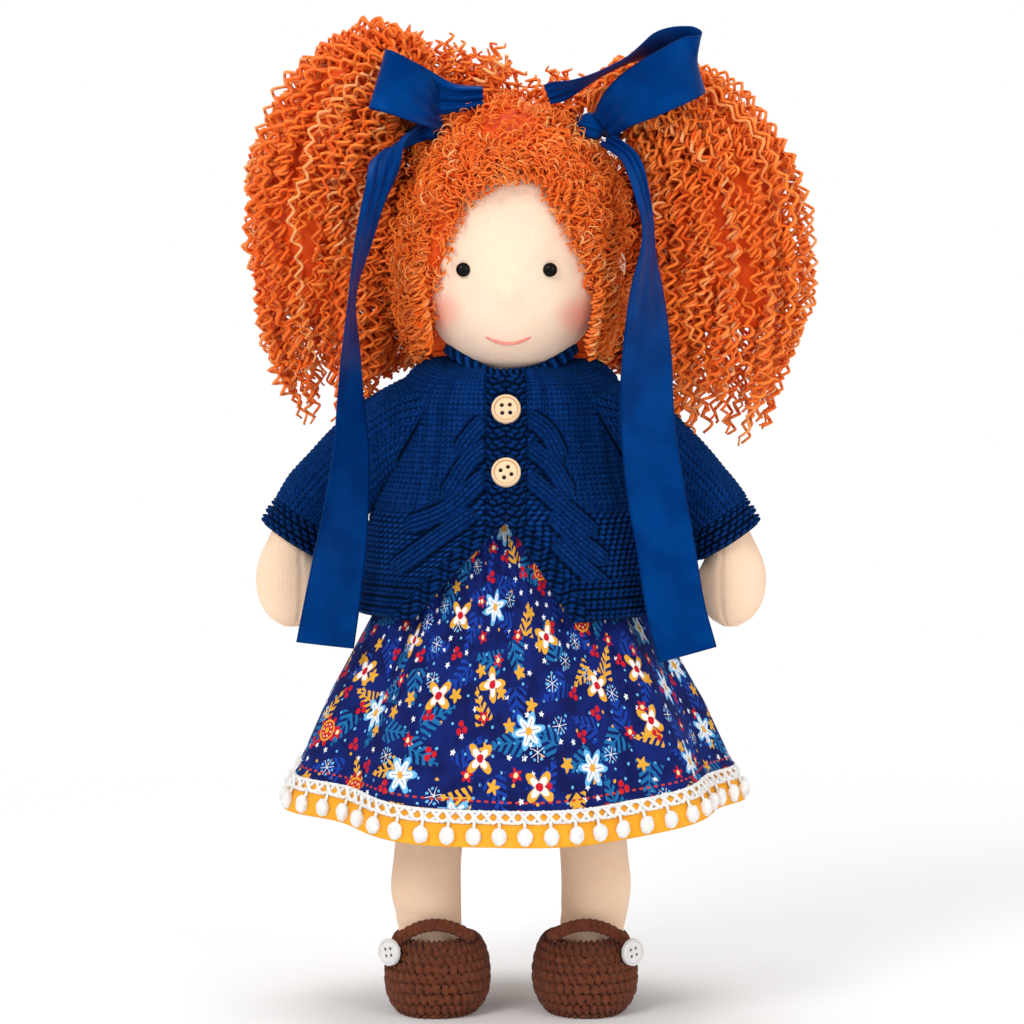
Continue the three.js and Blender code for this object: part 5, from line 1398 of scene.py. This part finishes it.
def knitted_panel(name, from_angle, to_angle, columns, rows, node, cables=False):
    """A closed panel of the jacket's body between two angles, each a function of height. Its outer side carries the
    stitches as relief, its inner side is smooth, and both meet at the edges."""
    level = np.linspace(0, 1, rows)
    fine = spline(CARDIGAN_PROFILE, np.linspace(0, len(CARDIGAN_PROFILE) - 1, 400))
    run = np.r_[0, np.cumsum(np.hypot(np.diff(fine[:, 0]), np.diff(fine[:, 1])))]
    z = np.interp(level * run[-1], run, fine[:, 0])[:, None]
    half_x, half_y = body_ring(z)
    a0, a1 = from_angle(z), to_angle(z)
    a = a0 + (a1 - a0) * np.linspace(0, 1, columns)[None]
    x, y = half_x * np.cos(a), half_y * np.sin(a)
    slope = np.gradient(half_x[:, 0] + half_y[:, 0], z[:, 0])[:, None] / 2
    normal = unit(np.stack(np.broadcast_arrays(half_y * np.cos(a), half_x * np.sin(a), -slope * np.sqrt(half_x * half_y)), axis=-1))
    base = np.stack([x, y, z + 0 * x], axis=-1)
    width = run_along(base[rows // 3])[None]
    down = level[:, None] * run[-1] + 0 * x
    plain = smooth_fabric(width / 2.2 + 0 * z, down / 1.75)
    if cables:
        lift, pattern, cover, groove = cable_relief(x, z + 0 * x)
        moss = beaded_fabric((width + 0 * z) / 2.8, down / 1.7)
        near = ease(13, 9, np.abs(x - BUTTON_LINE_X))
        low_part = np.clip(ease(168, 163, z) + near * ease(196, 190, z), 0, 1) + 0 * x
        ground = moss * low_part + plain * (1 - low_part)
        # painted shade: the marks drop in the grooves beside the cables, which the knit's colour turns dark, and rise
        # on the cables' domes as painted highlight
        marks = (ground * (1 - cover) + pattern * cover * (0.75 + 0.25 * lift)) * (1 - 0.85 * groove * (1 - cover))
        relief = ground * 0.85 * (1 - cover) + cover * (0.3 + 0.9 * lift + 0.7 * pattern) - 0.45 * groove * (1 - cover)
    else:
        marks, relief = plain, plain * 0.8
    hem = ease(13.2, 12.4, down)
    ridges = garter_fabric((width + 0 * z) / 2.9, down / 1.65)
    relief = relief * (1 - hem) + hem * (0.1 + 1.5 * ridges)
    marks = np.clip(marks * (1 - hem) + hem * ridges, 0, 1)
    border = np.minimum(np.arange(columns), np.arange(columns)[::-1])[None] + 0 * z
    border = np.minimum(border, np.minimum(np.arange(rows), np.arange(rows)[::-1])[:, None])
    soft = np.clip(border / 3.0, 0, 1) ** 0.5
    lift = (relief * 1.15 + 0.5 * lumps(base, 11, 12)) * soft - 0.35 * (1 - soft)
    raise_neck = 5.0 * ease(-16, 0, y) * ease(199, 210, z)
    base[..., 2] += raise_neck
    outer = base + normal * lift[..., None]
    few_rows, few_columns = (np.round(np.linspace(0, n - 1, n // 6)).astype(int) for n in (rows, columns))
    inner = (base - normal * (1.5 * soft + 0.35)[..., None])[few_rows][:, few_columns]
    points = np.concatenate([outer.reshape(-1, 3), inner.reshape(-1, 3)])
    front, back = (np.arange(n * m).reshape(n, m) for n, m in ((rows, columns), inner.shape[:2]))
    back = back + rows * columns
    quads = np.concatenate([grid_faces(rows, columns, False)[0], grid_faces(*inner.shape[:2], False)[0][:, ::-1] + rows * columns])
    rim = np.concatenate([
        beside(front[0], back[0]), beside(front[-1], back[-1])[:, ::-1], beside(front[:, 0], back[:, 0])[:, ::-1], beside(front[:, -1], back[:, -1]),
    ])
    if volume(points, quads, rim) < 0:
        quads, rim = quads[:, ::-1], rim[:, ::-1]
    # painted shade: the inner side is marked low, so it turns dark
    marks = np.concatenate([marks.ravel(), np.full(inner.size // 3, 0.3)])
    return piece(name, points, quads, rim, marks={"relief": marks}, material=KNIT, body="torso", stands_for=[node], slot="knit")


def front_edge(sign, z, from_edge):
    """X of a line at a distance from a front edge: the edges meet at the buttons and part below the join."""
    open_by = np.clip((CARDIGAN_JOIN_Z - z) / (CARDIGAN_JOIN_Z - CARDIGAN_HEM_Z), 0, None) ** 0.9
    return BUTTON_LINE_X + sign * ((30 if sign < 0 else 21) * open_by + from_edge)


def front_angle(sign, from_edge):
    """Angle of a line at a distance from the front edge, as a function of height."""

    def at(z):
        half_x, _ = body_ring(z)
        return -np.arccos(np.clip(front_edge(sign, z, from_edge) / half_x, -0.999, 0.999))

    return at


def make_jacket_body():
    knitted_panel("jacket_front_left", lambda z: -math.pi + 0.01 + 0 * z, front_angle(-1, BAND_WIDTH + 0.3), 112, 244, "cardigan_front_left", True)
    knitted_panel("jacket_front_right", front_angle(1, BAND_WIDTH + 0.3), lambda z: -0.01 + 0 * z, 112, 244, "cardigan_front_right", True)
    knitted_panel("jacket_back", lambda z: 0 * z, lambda z: math.pi + 0 * z, 220, 140, "cardigan_back")
    for side, sign in (("left", -1), ("right", 1)):
        make_front_band(side, sign)
    make_neckband()


def make_front_band(side, sign):
    """A garter band along a front edge: a flat tube whose face has beaded ridges across it."""
    rows, around = 300, 48
    z = np.linspace(CARDIGAN_HEM_Z - 0.4, 209.2, rows)[:, None]
    t = circle(around)[None]
    face = np.clip(1.25 * np.cos(t), -1, 1)
    half_x, half_y = body_ring(z)
    spread = (face * 0.5 + 0.5) * (BAND_WIDTH + 0.2) + 0.12
    x = front_edge(sign, z, spread)
    inside = np.clip(1 - (x / half_x) ** 2, 0.01, 1)
    y = -half_y * np.sqrt(inside)
    outside = np.sin(t) > 0
    bead = garter_fabric(spread / 2.8 + 0 * z, (z + 0.5 * np.sin(x * 0.9)) / 1.75)
    lift = np.where(outside, np.abs(np.sin(t)) ** 0.35 * (0.5 + 1.35 * bead), -1.3 * np.abs(np.sin(t)) ** 0.5)
    normal = unit(np.stack(np.broadcast_arrays(x / half_x**2, y / half_y**2, 0.004 + 0 * x), axis=-1))
    grid = np.stack([x, y, z + 0 * x], axis=-1) + normal * lift[..., None]
    # painted shade: the band's back is marked low, so it turns dark
    surface(f"jacket_band_{side}", grid, wrap=True, ends=True, material=KNIT, body="torso", stands_for=[f"front_band_{side}"], slot="knit",
            marks={"relief": np.where(outside, bead, 0.2)})


def make_neckband():
    """The gathered neck edge: a torus whose top is crimped by its stitches."""
    a = circle(420)[:, None]
    b = circle(28)[None]
    crimp = 0.5 + 0.5 * np.cos(46 * a + 1.2 * np.sin(b))
    r = 14.2 + (1.3 + 0.4 * crimp) * np.cos(b) + 0.9 * np.maximum(-np.sin(b), 0)
    z = 209.0 + (1.7 + 0.5 * crimp) * np.sin(b) + 0.25 * np.sin(5 * a) + 8.0 * ease(1.0, 0.3, np.cos(a))
    r = r + 6.6 * ease(1.0, 0.4, np.cos(a))
    grid = np.stack([r * np.sin(a), -r * np.cos(a), z], axis=-1)
    surface("jacket_neckband", grid, wrap=True, closed=True, material=KNIT, body="torso", stands_for=["neckband"], slot="knit",
            marks={"relief": 0.1 + 0.9 * crimp + 0 * b})


SLEEVE = [
    (37, 0, 0, 0, 15), (45, -0.4, 5.6, 0.42, 13.65), (53, -1.2, 13.6, 0.7, 13.2), (61, -2.4, 22, 0.88, 12.7), (66.2, -3.6, 28.2, 1.0, 12),
]


def sleeve_grid(sign, rows, columns):
    """From the raglan line on the jacket's body, which runs from the neck to the armpit, through the sleeve's
    rings to the cuff. Angle 0 is the shoulder line and a quarter turn is the front."""
    a = circle(columns)
    down = (1 - np.cos(a)) / 2
    x = 18.5 + 22.0 * down
    z = 211.0 - 39.0 * down
    half_x, half_y = body_ring(z)
    depth = half_y * np.sqrt(np.clip(1 - (x / half_x) ** 2, 0.0, 1)) + 1.0
    start = np.stack([sign * x, -depth * np.sin(a), z], axis=-1)
    rings = leaning_rows([(px, py, drop, lean, r, r) for px, py, drop, lean, r in SLEEVE], columns, sign)
    half = 0.5 * (start + rings[0])
    half[:, 2] += 0.8 * np.cos(a)
    stack = np.concatenate([start[None], half[None], rings])
    return spline(stack, np.linspace(0, len(stack) - 1, rows)), a


def make_sleeves():
    for side, sign in (("left", -1), ("right", 1)):
        rows, columns = 146, 184
        grid, a = sleeve_grid(sign, rows, columns)
        run = run_down(grid)
        middle = grid.mean(axis=1, keepdims=True)
        normal = wall_normals(grid)
        normal *= np.sign(((grid - middle) * normal).sum(-1).mean())
        u = np.broadcast_to(a[None] / TURN * 38, (rows, columns))
        relief = smooth_fabric(u, run / 1.75)
        start = np.arange(rows)[:, None] / rows
        groove = bell(run - 1.6, 0.9)
        wrinkle = 0.9 * np.sin(run / 4.4 + 2.0 * np.cos(a)[None]) * bell(run - 26, 11) * np.clip(-np.cos(a)[None] + 0.35, 0, 1)
        lift = 0.95 * relief * ease(0, 0.04, start) + 0.5 * lumps(grid, 12, 14) + wrinkle - 1.1 * groove
        outer = grid + normal * lift[..., None]
        inner = grid[::-8] - normal[::-8] * 2.0
        whole = np.concatenate([outer, inner])
        # painted shade: the marks drop in the raglan seam's groove and on the inner side, which the knit's colour turns
        # dark
        mark = np.concatenate([np.clip(relief * (1 - groove), 0, 1), np.full(inner.shape[:2], 0.3)])
        sleeve = surface(f"jacket_sleeve_{side}", whole, wrap=True, closed=True, material=KNIT, stands_for=[f"sleeve_{side}"], slot="knit",
                         marks={"relief": mark})
        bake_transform(sleeve)
        make_cuff(side, sign)


def make_cuff(side, sign):
    """Garter cuff: three beaded ridges round the wrist, a closed wall with a smooth bore."""
    rows, columns = 54, 220
    t = np.linspace(0, 1, rows)[:, None]
    a = circle(columns)[None]
    relief = garter_fabric(24 * a / TURN + 0 * t, 6 * t)
    wall = 10.9 + 0.6 * np.sin(math.pi * t) + 1.9 * relief + 0.3 * np.sin(5 * a)
    bore = np.full((8, 1), 8.7) + 0 * a
    back = np.linspace(1, 0, 8)[:, None]
    radius = np.concatenate([wall + 0 * a, bore])
    along = np.concatenate([t + 0 * a, back + 0 * a]) * 9.6 - 0.3
    lean, end = 1.0, np.array([66.2, -3.6, SHOULDER_Z - 28.2])
    u = radius * np.cos(a)
    c, s = math.cos(lean), math.sin(lean)
    x, y, z = end[0] + c * along + s * u, end[1] - along / 9 - radius * np.sin(a), end[2] - s * along + c * u
    # painted shade: the bore is marked low, so it turns dark
    mark = np.concatenate([relief, np.full((8, columns), 0.2)])
    surface(f"jacket_cuff_{side}", np.stack([sign * x, y, z], axis=-1), wrap=True, closed=True, material=KNIT,
            body=f"arm_{side}", stands_for=[f"cuff_{side}"], slot="knit", marks={"relief": mark})


# Skirt, hem band and lace

def skirt_point(a, t, out=0.0):
    """The skirt at an angle (0 in front, growing towards +X) and a share t of its length from the waist: an ellipse
    that widens with t, waved by nine folds that deepen with t, with fine gathers near the waist; it dips in front."""
    grow = np.interp(t, [0, 0.12, 0.38, 0.5, 0.75, 1, 2], [0, 0.08, 0.29, 0.44, 0.75, 1, 2])
    deep = np.interp(t, [0, 0.12, 0.38, 0.5, 0.75, 1, 2], [0.1, 0.25, 0.5, 0.6, 0.85, 1, 1])
    around = a - math.pi / 2
    wave = deep * FOLD_DEPTH * np.cos(SKIRT_FOLDS * around) * (1 + 0.25 * np.sin(2 * around + 1))
    gathers = 0.9 * np.sin(57 * a + 2 * np.sin(5 * a)) * ease(0.75, 0.1, t) * (0.6 + 0.4 * np.sin(9 * a + 2))
    gathers = gathers + 0.5 * np.sin(23 * a + 1.3 * np.sin(3 * a)) * ease(1.1, 0.3, t)
    half_x = WAIST_HALF_WIDTH + grow * (HEM_HALF_WIDTH - WAIST_HALF_WIDTH) + wave + gathers + out
    half_y = WAIST_HALF_DEPTH + grow * (HEM_HALF_DEPTH - WAIST_HALF_DEPTH) + wave + gathers + out
    front = np.maximum(np.cos(a), 0)
    z = WAIST_Z - np.minimum(t, 1) * SKIRT_LENGTH - FRONT_DIP * np.minimum(t, 1) ** 2 * front**2
    return np.stack(np.broadcast_arrays(half_x * np.sin(a), -half_y * np.cos(a), z), axis=-1)


def band_point(a, t, out=0.0):
    """The hem band: it goes on from the print's edge, flaring by 4.5 mm over its 11 mm drop."""
    edge = skirt_point(a, np.ones_like(a * t), 4.5 * t + out)
    edge[..., 2] -= 0.3 + t * 11.0 - 0.4 * np.sin(7 * a + 1)
    return edge


def follow_seat(made):
    """Cloth over the lap: its placing baked into its points."""
    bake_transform(made)


HEM_LENGTH = 410.0


def make_skirt():
    rows, columns = 80, 376
    t = np.linspace(0, 1.012, rows)[:, None]
    a = circle(columns)[None] - math.pi
    grid = skirt_point(a, t, 0.35 * bell(t - 1, 0.02))
    around = np.broadcast_to(np.linspace(0, HEM_LENGTH, columns + 1)[None], (rows, columns + 1))
    down = np.broadcast_to(t * SKIRT_LENGTH, (rows, columns + 1))
    skirt = surface("skirt_print", grid, wrap=True, flip=True, uv=(around, down), material=PRINT, stands_for=["skirt"], slot="print_cotton")
    follow_seat(skirt)
    thicken(skirt, COTTON_THICKNESS)
    t = np.linspace(0, 1, 16)[:, None]
    grid = band_point(a, t)
    around = np.broadcast_to(np.linspace(0, HEM_LENGTH, columns + 1)[None], (16, columns + 1))
    down = np.broadcast_to(t * 12, (16, columns + 1))
    band = surface("hem_mustard", grid, wrap=True, flip=True, uv=(around, down), material=MUSTARD, stands_for=["hem_band"], slot="mustard_cotton")
    follow_seat(band)
    thicken(band, COTTON_THICKNESS)
    lace = make_lace()


def make_lace():
    """White crochet edging: two zigzag chains that cross over the seam, a line of yarn above and below them, and
    egg-shaped drops on short stems, evenly spaced by the length of the hem."""
    drops = 52
    fine = np.linspace(-math.pi, math.pi, 2000)
    edge = band_point(fine, np.zeros_like(fine))
    run = run_along(edge)
    steps = drops * 18

    def at(length, t, out):
        a = np.interp(length, run, fine)
        return band_point(a, np.broadcast_to(t, a.shape), out)

    length = np.linspace(0, run[-1], steps)
    wave = length / run[-1] * drops * TURN
    parts = []
    rows = [
        (0.02 + 0 * wave, 0.75, 0.55), (0.30 + 0.02 * np.cos(wave), 0.75, 0.5),
        (0.16 + 0.15 * np.sin(wave), 0.9 + 0.4 * np.cos(wave), 0.62), (0.16 - 0.15 * np.sin(wave), 0.9 - 0.4 * np.cos(wave), 0.62),
    ]
    for t, out, radius in rows:
        path = at(length, t, 0.0)
        away = unit(path * np.array([1, 1, 0]))
        path = path + away * np.broadcast_to(out, length.shape)[:, None]
        thick = radius * (1 + 0.16 * np.sin(wave * 5))
        parts.append(tubes(path[None], away[None], thick[None], 6))
    centre = (np.arange(drops) + 0.5) * run[-1] / drops
    stem = np.stack([at(centre, s, 1.1) for s in np.linspace(0.3, 0.5, 6)], axis=1)
    parts.append(tubes(stem, unit(stem * np.array([1, 1, 0])), np.full(stem.shape[:2], 0.55), 6))
    rings, sides = 14, 20
    drop, way = ball((0, 0, 0), (2.45, 1.9, 2.9), rings, sides)
    faces, _, _ = grid_faces(rings, sides, True)
    caps, top, last = np.arange(sides), rings * sides, (rings - 1) * sides
    after = (caps + 1) % sides
    for middle in at(centre, 0.66, 1.5):
        turn = math.atan2(middle[0], -middle[1])
        bumps = 0.3 * lumps(way * 3 + middle, 0.8, 3)[..., None] * way
        c, s = math.cos(turn), math.sin(turn)
        local = drop * (1 - 0.12 * way[..., 2:3]) + bumps
        x, y, z = np.moveaxis(local, -1, 0)
        points = np.stack([x * c - y * s, x * s + y * c, z], axis=-1) + middle
        points = np.concatenate([points.reshape(-1, 3), [points[0].mean(0)], [points[-1].mean(0)]])
        fans = np.concatenate([
            np.stack([np.full(sides, top), after, caps], axis=1),
            np.stack([np.full(sides, top + 1), last + caps, last + after], axis=1),
        ])
        parts.append((points, faces, fans))
    p, q, f = merged(parts)
    lace = piece("lace_with_drops", p, q, f, material=LACE, stands_for=["pompom_lace"], slot="lace")
    follow_seat(lace)
    return lace


# Shoes and buttons

SHOE = [(0, 0, 0.66, 0.8), (0.07, 0, 0.8, 0.91), (0.25, 0, 0.95, 1), (0.5, 0.1, 1, 0.98), (0.75, 1.5, 0.96, 0.86), (0.93, 3.2, 0.86, 0.74)]


def crochet_fabric(u, v):
    """Crochet from 0 to 1: fat upright stitches that lean a little, brick-wise, with holes where four meet."""
    x, y = u + 0.5 * (np.floor(v) % 2) + 0.12 * np.sin(v * 2.7 + u), v - np.floor(v)
    x = x - np.floor(x)
    return np.sqrt(np.clip(1 - ((x - 0.5 + 0.2 * (y - 0.5)) / 0.5) ** 2 - ((y - 0.5) / 0.56) ** 4, 0, 1))


def make_shoes():
    """Level superellipses up the side, then rings that draw in to the round ankle opening, over the rim and down
    inside; the outer side carries crochet rows."""
    for side, sign in (("left", -1), ("right", 1)):
        columns = 176
        a = circle(columns)
        c, s = np.sin(a), -np.cos(a)
        square = np.stack([np.sign(c) * np.abs(c) ** 0.88, np.sign(s) * np.abs(s) ** 0.88], axis=-1)
        rows, heights = [], []
        for t, back, w, length in spline(SHOE, np.linspace(0, 5, 84)):
            ring = square * np.array([w * SHOE_HALF_WIDTH, length * SHOE_HALF_LENGTH]) + np.array([sign * SHOE_X, SHOE_Y + back])
            rows.append(ring)
            heights.append(np.full(columns, t * SHOE_HEIGHT))
        opening = np.stack([c * 11.9, s * 11.9], axis=-1) + np.array([sign * 25.0, 0.8])
        side_ring, side_height = rows[-1], heights[-1]
        for k in np.linspace(0.05, 1, 24):
            rows.append(side_ring * (1 - k) + opening * k)
            heights.append(side_height + (1.7 - 0.9 * (np.cos(a) > 0) * np.cos(a)) * math.sin(k * math.pi / 2))
        rim_height = heights[-1]
        for k in np.linspace(0.2, 1, 8):
            rows.append(opening)
            heights.append(rim_height * (1 - k) + 8.0 * k)
        ring = np.array(rows)
        z = np.array(heights)
        outer = np.concatenate([ring, z[..., None]], axis=-1)
        floor = square * np.array([0.78 * SHOE_HALF_WIDTH - 2.5, 0.86 * SHOE_HALF_LENGTH - 2.5]) + np.array([sign * SHOE_X, SHOE_Y])
        inner = np.stack([
            np.concatenate([opening * (1 - k) + floor * k, np.full((columns, 1), 8.0 * (1 - k) + 2.4 * k)], axis=-1) for k in (0.5, 1.0)
        ])
        grid = np.concatenate([outer, inner])
        length = run_down(grid)
        v = length / 3.4
        round_it = run_along(ring[40])
        u = np.broadcast_to(round_it[None] / (round_it[-1] * (1 + 1 / columns)) * 46, v.shape)
        relief = crochet_fabric(u, v)
        shown = np.r_[ease(0, 8, np.arange(84)), np.ones(24), np.linspace(1, 0, 8), np.zeros(2)][:, None]
        normal = wall_normals(grid)
        normal[~np.isfinite(normal)] = 0
        middle = np.array([sign * SHOE_X, SHOE_Y, 11.0])
        normal *= np.sign(((grid[:84] - middle) * normal[:84]).sum(-1).mean())
        grid = grid + normal * ((2.3 * relief - 1.0) * shown + 0.4 * lumps(grid, 8, 21) * shown)[..., None]
        grid[..., 2] = np.maximum(grid[..., 2], 0.0)
        # painted shade: the marks fall to 0 down inside the shoe, which the crochet's colour turns dark
        surface(f"shoe_{side}_crochet", grid, wrap=True, ends=True, material=CROCHET, body=f"leg_{side}", stands_for=[f"shoe_{side}"], slot="crochet",
                marks={"relief": relief * shown})
        make_strap(side, sign)


def make_strap(side, sign):
    """A plait of three strands over the strap's arch: each swings from side to side, a third of a turn apart."""
    steps = 130
    t = np.linspace(0, 1, steps)
    x = sign * (12.8 + t * 25.4)
    z = 24.4 + 4.6 * np.sin(math.pi * t) ** 0.8 - 1.8 * t**3
    line = np.stack([x, -13.2 + 0 * t, z], axis=-1)
    tangent = unit(np.gradient(line, axis=0))
    out = np.array([0.0, -1.0, 0.0]) + 0 * line
    up = unit(np.cross(out, tangent)) * sign
    parts = []
    for k in range(3):
        turn = TURN * (t * 4.5 + k / 3)
        path = line + up * (1.15 * np.sin(turn))[:, None] + out * (0.5 * np.sin(2 * turn))[:, None]
        parts.append(tubes(path[None], out[None], np.full((1, steps), 1.05), 10))
    p, q, f = merged(parts)
    # painted shade: the strands turn darker where they lie further back
    shade = np.clip(0.5 + (p - line.mean(0))[:, 1] * -0.25, 0.25, 1)
    piece(f"strap_{side}", p, q, f, marks={"relief": shade}, material=CROCHET, body=f"strap_{side}",
          stands_for=[f"shoe_strap_{side}"], slot="crochet")


def button_grid(radius, thickness, rim, pitch, hole, turn):
    """A button seen as rings: up the back, round the edge, over a raised rim, down to a dished face with four
    deep holes. Returns the grid facing -Y at the origin, its groove shading and its holes."""
    r = np.r_[np.linspace(0.15, 1, 14), np.full(8, 1.0), np.linspace(1, 0.012, 60)] * radius
    face = np.r_[np.zeros(14), np.linspace(0, 1, 8), np.ones(60)]
    r = r[:, None]
    a = circle(96)[None]
    share = r / radius
    profile = 1 - rim * (ease(0.86, 0.76, share) - 0.25 * ease(0.6, 0.0, share)) - 0.35 * ease(0.93, 1.0, share)
    x, z = r * np.cos(a), r * np.sin(a)
    c, s = math.cos(turn), math.sin(turn)
    hx, hz = np.abs(x * c + z * s) - pitch / 2, np.abs(z * c - x * s) - pitch / 2
    pit = ease(hole * 1.18, hole * 0.85, np.hypot(hx, hz)) * (face[:, None] > 0.99)
    front = profile * thickness - pit * (profile * thickness - 0.25)
    y = np.where(face[:, None] < 0.99, face[:, None] * thickness * 0.65, front)
    grid = np.stack([x, -y + 0 * x, z], axis=-1)
    groove = 1 - bell(share - 0.79, 0.05) * (face[:, None] > 0.99) + 0 * a
    return grid, groove, pit


def make_buttons():
    for name, turn in (("upper", 0.05), ("lower", 0.44)):
        low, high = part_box(f"cardigan_button_{name}")
        low, high = np.array(low) / MM, np.array(high) / MM
        grid, groove, pit = button_grid(4.75, 2.2, 0.36, 2.6, 0.62, turn)
        tilt = -math.asin(max(0.0, min(0.35, (high[1] - low[1] - 2.2) / 9.5)))
        c, s = math.cos(tilt), math.sin(tilt)
        y, up = grid[..., 1] * c - grid[..., 2] * s, grid[..., 1] * s + grid[..., 2] * c
        grid = np.stack([grid[..., 0], y, up], axis=-1) + ((low + high) / 2 + np.array([0, 1.1, 0]))
        surface(f"wooden_button_{name}", grid, wrap=True, ends=True, material=WOOD, body="torso",
                stands_for=[f"cardigan_button_{name}"], slot="wooden_button", marks={"relief": groove, "hole": pit})
    for side, sign in (("left", -1), ("right", 1)):
        grid, groove, pit = button_grid(4.5, 1.5, 0.3, 2.2, 0.5, 0.2)
        turn = sign * 0.72
        c, s = math.cos(turn), math.sin(turn)
        x, y = grid[..., 0] * c - grid[..., 1] * s, grid[..., 0] * s + grid[..., 1] * c
        grid = np.stack([x, y, grid[..., 2]], axis=-1) + np.array([sign * 39.4, -17.2, 20.6])
        surface(f"shoe_button_{side}_face", grid, wrap=True, ends=True, material=WHITE_BUTTON, body=f"leg_{side}", stands_for=[f"shoe_button_{side}"],
                slot="white_button", marks={"relief": groove, "hole": pit})
        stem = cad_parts[f"shoe_button_{side}_thread"]
        stem.data.materials.clear()
        stem.data.materials.append(WHITE_THREAD)


# Camera, light and floor


def point_at(thing, place, aim):
    """Puts a thing at a place and turns its -Z towards a point, with no roll."""
    away = np.array(aim) - np.array(place)
    thing.location = place
    thing.rotation_euler = (math.atan2(math.hypot(away[0], away[1]), -away[2]), 0, math.atan2(-away[0], away[1]))


def seen_rays(tree):
    """1 for rays from the camera, through glass or off gloss, and 0 for the rays that light the doll."""
    path = tree.nodes.new("ShaderNodeLightPath")
    seen = take(tree, path, "Is Camera Ray")
    for ray in ("Is Transmission Ray", "Is Glossy Ray"):
        seen = seen.math("MAXIMUM", take(tree, path, ray))
    return seen


def make_camera():
    camera = bpy.data.objects.new("camera", bpy.data.cameras.new("camera"))
    bpy.context.scene.collection.objects.link(camera)
    point_at(camera, (0.0, -1.4943, 0.2807), (0.00033, 0.0, 0.1632))
    camera.data.sensor_width, camera.data.lens = 36, 160.9
    camera.data.clip_start, camera.data.clip_end = 0.1, 30
    bpy.context.scene.camera = camera


def make_light():
    """A soft white surround, seen as white by the camera and by gloss, and large soft lamps in front and above."""
    world = bpy.data.worlds.new("surround")
    bpy.context.scene.world = world
    world.use_nodes = True
    tree = world.node_tree
    ground = tree.nodes["Background"]
    plug(tree, seen_rays(tree).ramp(0, 1, 0.55, 1.0), ground.inputs["Strength"])
    ground.inputs["Color"].default_value = (1, 1, 1, 1)
    for name, place, size, power in (
        ("front_left", (-1.0, -1.5, 1.3), 1.0, 19.0), ("front_right", (1.2, -1.4, 0.7), 1.2, 9.0), ("top", (0.0, 0.2, 1.8), 1.2, 12.0),
    ):
        lamp = bpy.data.lights.new(name, "AREA")
        lamp.shape, lamp.size, lamp.energy = "DISK", size, power
        made = bpy.data.objects.new(name, lamp)
        bpy.context.scene.collection.objects.link(made)
        point_at(made, place, (0, 0, 0.15))


def floor_paint(tree):
    place = place_in_mm(tree)
    return mix(tree, noise(tree, place, 0.01, 2.0), (0.93, 0.93, 0.93), (0.96, 0.96, 0.96)), noise(tree, place, 0.5)


def make_floor():
    """A pale floor that turns to plain white light far from the doll, so that it ends in the surround."""
    material = finish_of("pale_floor", floor_paint, 0.9, 0.01)
    tree = material.node_tree
    place = place_in_mm(tree)
    x, y, _ = parts_of(tree, place)
    far = (x * x + y * y).math("SQRT").ramp(260, 620)
    seen = seen_rays(tree)
    glow = add_node(tree, "ShaderNodeEmission")
    glow.inputs["Strength"].default_value = 1.0
    blend = tree.nodes.new("ShaderNodeMixShader")
    plug(tree, far * seen, blend.inputs[0])
    tree.links.new(tree.nodes["Principled BSDF"].outputs[0], blend.inputs[1])
    tree.links.new(glow.outputs[0], blend.inputs[2])
    tree.links.new(blend.outputs[0], tree.nodes["Material Output"].inputs[0])
    half = 3000.0
    points = np.array([(-half, -half, -0.05), (half, -half, -0.05), (half, half, -0.05), (-half, half, -0.05)])
    piece("floor", points, [(0, 1, 2, 3)], material=material)


make_camera()
make_light()
make_floor()
make_head()
make_face()
make_pigtails()
make_cap()
make_ties()
make_ribbons()
make_limbs()
make_inside()
make_jacket_body()
make_sleeves()
make_skirt()
make_shoes()
make_buttons()

bpy.context.scene.view_settings.view_transform = "Standard"
